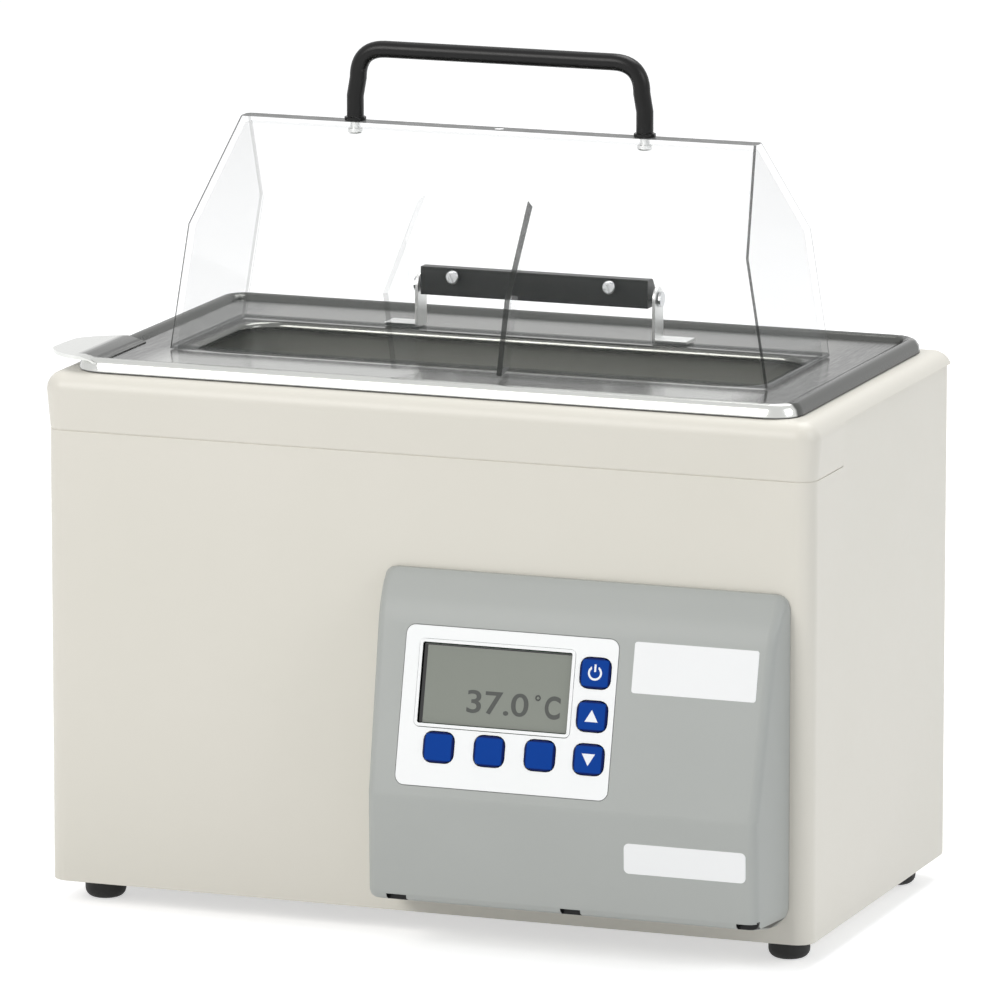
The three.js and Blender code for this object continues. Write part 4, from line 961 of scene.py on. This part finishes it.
def make_power_mark():
    """A white ring, open at its top, with a short bar in the gap."""
    u, v = key_places["key_power"]
    ring_line = 0.45 * mm
    gap_half = 1.3 * mm
    bar_middle = 2.1 * mm
    deselect()
    bpy.ops.mesh.primitive_torus_add(
        major_segments=48, minor_segments=8, major_radius=2.7 * mm, minor_radius=ring_line,
    )
    circle = bpy.context.object
    select_edges(circle, lambda middle, along: middle.y > 0 and abs(middle.x) < gap_half)
    bpy.ops.mesh.delete(type="EDGE")
    bpy.ops.mesh.select_all(action="SELECT")
    bpy.ops.mesh.fill_holes(sides=0)
    bpy.ops.object.mode_set(mode="OBJECT")
    deselect()
    bpy.ops.mesh.primitive_cube_add(
        size=1, location=(0, bar_middle, 0), scale=(0.85 * mm, 3.2 * mm, 2 * ring_line),
    )
    bar = bpy.context.object
    settle(bar)
    mark = joined("key_power_mark", circle, bar)
    seat = Matrix.Translation((u * mm, v * mm, key_top + print_height / 2))
    mark.matrix_world = slope @ seat @ Matrix.Diagonal((1, 1, print_height / (2 * ring_line), 1))
    settle(mark)
    smooth(mark, 40)
    dress(mark, "power_key", "white_film", key_white)


# The pieces
for node, finish in carried_over.items():
    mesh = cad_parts[node].data
    mesh.materials.clear()
    mesh.materials.append(finish)

eased("base_pan", "folded_pan", "housing", "enamel", sheet_edge, enamel)
eased("housing_wrap", "folded_housing", "housing", "enamel", sheet_edge, enamel)
eased("back_panel", "slotted_back", "housing", "enamel", panel_edge, enamel)
eased("top_cover", "deep_cover", "housing", "enamel", drawn_edge, enamel)
eased("tank", "pressed_tank", "housing", "stainless", drawn_edge, tank_steel, angle=60, fold=50)
eased("hinge_ear_left", "left_hinge_ear", "housing", "stainless", sheet_edge, bright_steel)
eased("hinge_ear_right", "right_hinge_ear", "housing", "stainless", sheet_edge, bright_steel)

console = eased(
    "console_shell", "moulded_console", "housing", "grey_plastic", console_edge, grey_plastic, angle=40
)
# Painted shade: the insides of the toe's slots take the black finish
tint_faces(console, black_plastic, in_notch)
eased("keypad_film", "printed_film", "housing", "white_film", film_edge, white_film)
bezel = eased("display_bezel", "window_bezel", "housing", "black_plastic", film_edge, black_plastic)
window = slope @ Matrix.Translation(window_middle.to_3d())
bezel.matrix_world = window @ Matrix.Diagonal((*bezel_growth, 1, 1)) @ window.inverted()
settle(bezel)
# The rim's top takes the film's white; its outer sides are painted white too, as light against the shade
# in the gap round the rim
tint_faces(bezel, white_film, off_window)
eased("display_window", "window_pane", "housing", "display", glass_edge, display_glass)

eased("mains_inlet", "inlet_body", "housing", "black_plastic", socket_edge, black_plastic)
eased("switch_frame", "rocker_frame", "housing", "black_plastic", socket_edge, black_plastic)
eased("switch_rocker", "rocker_paddle", "rocker", "black_plastic", drawn_edge, black_plastic)

eased("hinge_bar", "moulded_hinge_bar", "lid", "black_plastic", lid_edge, black_plastic)
lid = eased(
    "lid_shell", "moulded_lid", "lid", "clear_plastic", lid_edge, clear_plastic, clear_edge, segments=3
)
for finish in (clear_cheek, clear_ridge, clear_corner, clear_end, clear_fading):
    lid.data.materials.append(finish)
lid_finishes = list(lid.data.materials)
for face in lid.data.polygons:
    finish = lid_region(face.normal, face.center)
    if finish:
        face.material_index = lid_finishes.index(finish)

for node, body in key_bodies.items():
    eased(node, node + "_cap", body, "blue_key", sheet_edge, key_finish(node), angle=40)
for node in ("foot_front_left", "foot_front_right", "foot_rear_left", "foot_rear_right"):
    make_foot(node)
make_handle()
for index in (1, 2, 3, 4):
    make_screw(f"panel_screw_{index}", "housing", (0, 1, 0), large_screw)
for index in (1, 2):
    make_screw(f"hinge_screw_{index}", "lid", (0, -1, 0), small_screw)
for side in ("left", "right"):
    make_screw(f"handle_screw_{side}", "lid", (0, 0, -1), large_screw, bright_steel)
make_seam_backing()
make_reading()
make_arrow("key_up", 1)
make_arrow("key_down", -1)
make_power_mark()
upper_label = rounded_plate("upper_label", slope, *upper_label_sides, upper_label_corner, *label_levels)
dress(upper_label, "housing", "white_film", label_white)
lower_label = rounded_plate("lower_label", apron, *lower_label_sides, lower_label_corner, *label_levels)
dress(lower_label, "housing", "white_film", label_white)


# Studio

def studio_floor():
    """Pale paper that takes a shadow and glows for rays that see it."""
    deselect()
    bpy.ops.mesh.primitive_plane_add(size=floor_size, location=(0, 0, 0))
    floor = bpy.context.object
    floor.name = "pale_floor"
    paper = Finish("pale_paper")
    lit = paper.add("ShaderNodeBsdfDiffuse", None, {"Color": (0.8, 0.8, 0.8, 1)})
    glow = paper.add("ShaderNodeEmission", None, {
        "Color": (1, 1, 1, 1), "Strength": paper.looked_at() * floor_glow,
    })
    both = paper.add("ShaderNodeAddShader", None, {0: lit, 1: glow})
    paper.add("ShaderNodeOutputMaterial", None, {0: both})
    floor.data.materials.append(paper.owner)


def studio_world():
    """White where it is seen, and a soft cool light everywhere else."""
    sky = Finish("studio", world=True)
    soft = sky.add("ShaderNodeBackground", None, {"Color": (0.96, 0.98, 1, 1), "Strength": sky_strength})
    white = sky.add("ShaderNodeBackground", None, {"Color": (1, 1, 1, 1), "Strength": 1})
    mixed = sky.add("ShaderNodeMixShader", None, {0: sky.looked_at(), 1: soft, 2: white})
    sky.add("ShaderNodeOutputWorld", None, {0: mixed})
    bpy.context.scene.world = sky.owner


def lamp(name, place, size, power, tint):
    """A soft square lamp that looks at the bath."""
    deselect()
    heading = (lamp_aim - Vector(place)).to_track_quat("-Z", "Y").to_euler()
    bpy.ops.object.light_add(type="AREA", location=place, rotation=heading)
    light = bpy.context.object
    light.name = name
    light.data.size = size
    light.data.energy = power
    light.data.color = tint


studio_floor()
studio_world()
lamp("front_lamp", (-1.1, -2.2, 1.7), size=1.3, power=36, tint=(1, 0.985, 0.96))
lamp("side_lamp", (2.4, -0.5, 1.5), size=1.2, power=16, tint=(0.97, 0.985, 1))
lamp("top_lamp", (0.2, 0.9, 2.4), size=1.4, power=32, tint=(1, 1, 1))

deselect()
bpy.ops.object.camera_add(location=eye, rotation=(math.pi / 2 - dip, 0, turn))
camera = bpy.context.object
camera.data.lens = lens
camera.data.sensor_width = sensor_width
bpy.context.scene.camera = camera
bpy.context.scene.view_settings.view_transform = "Standard"
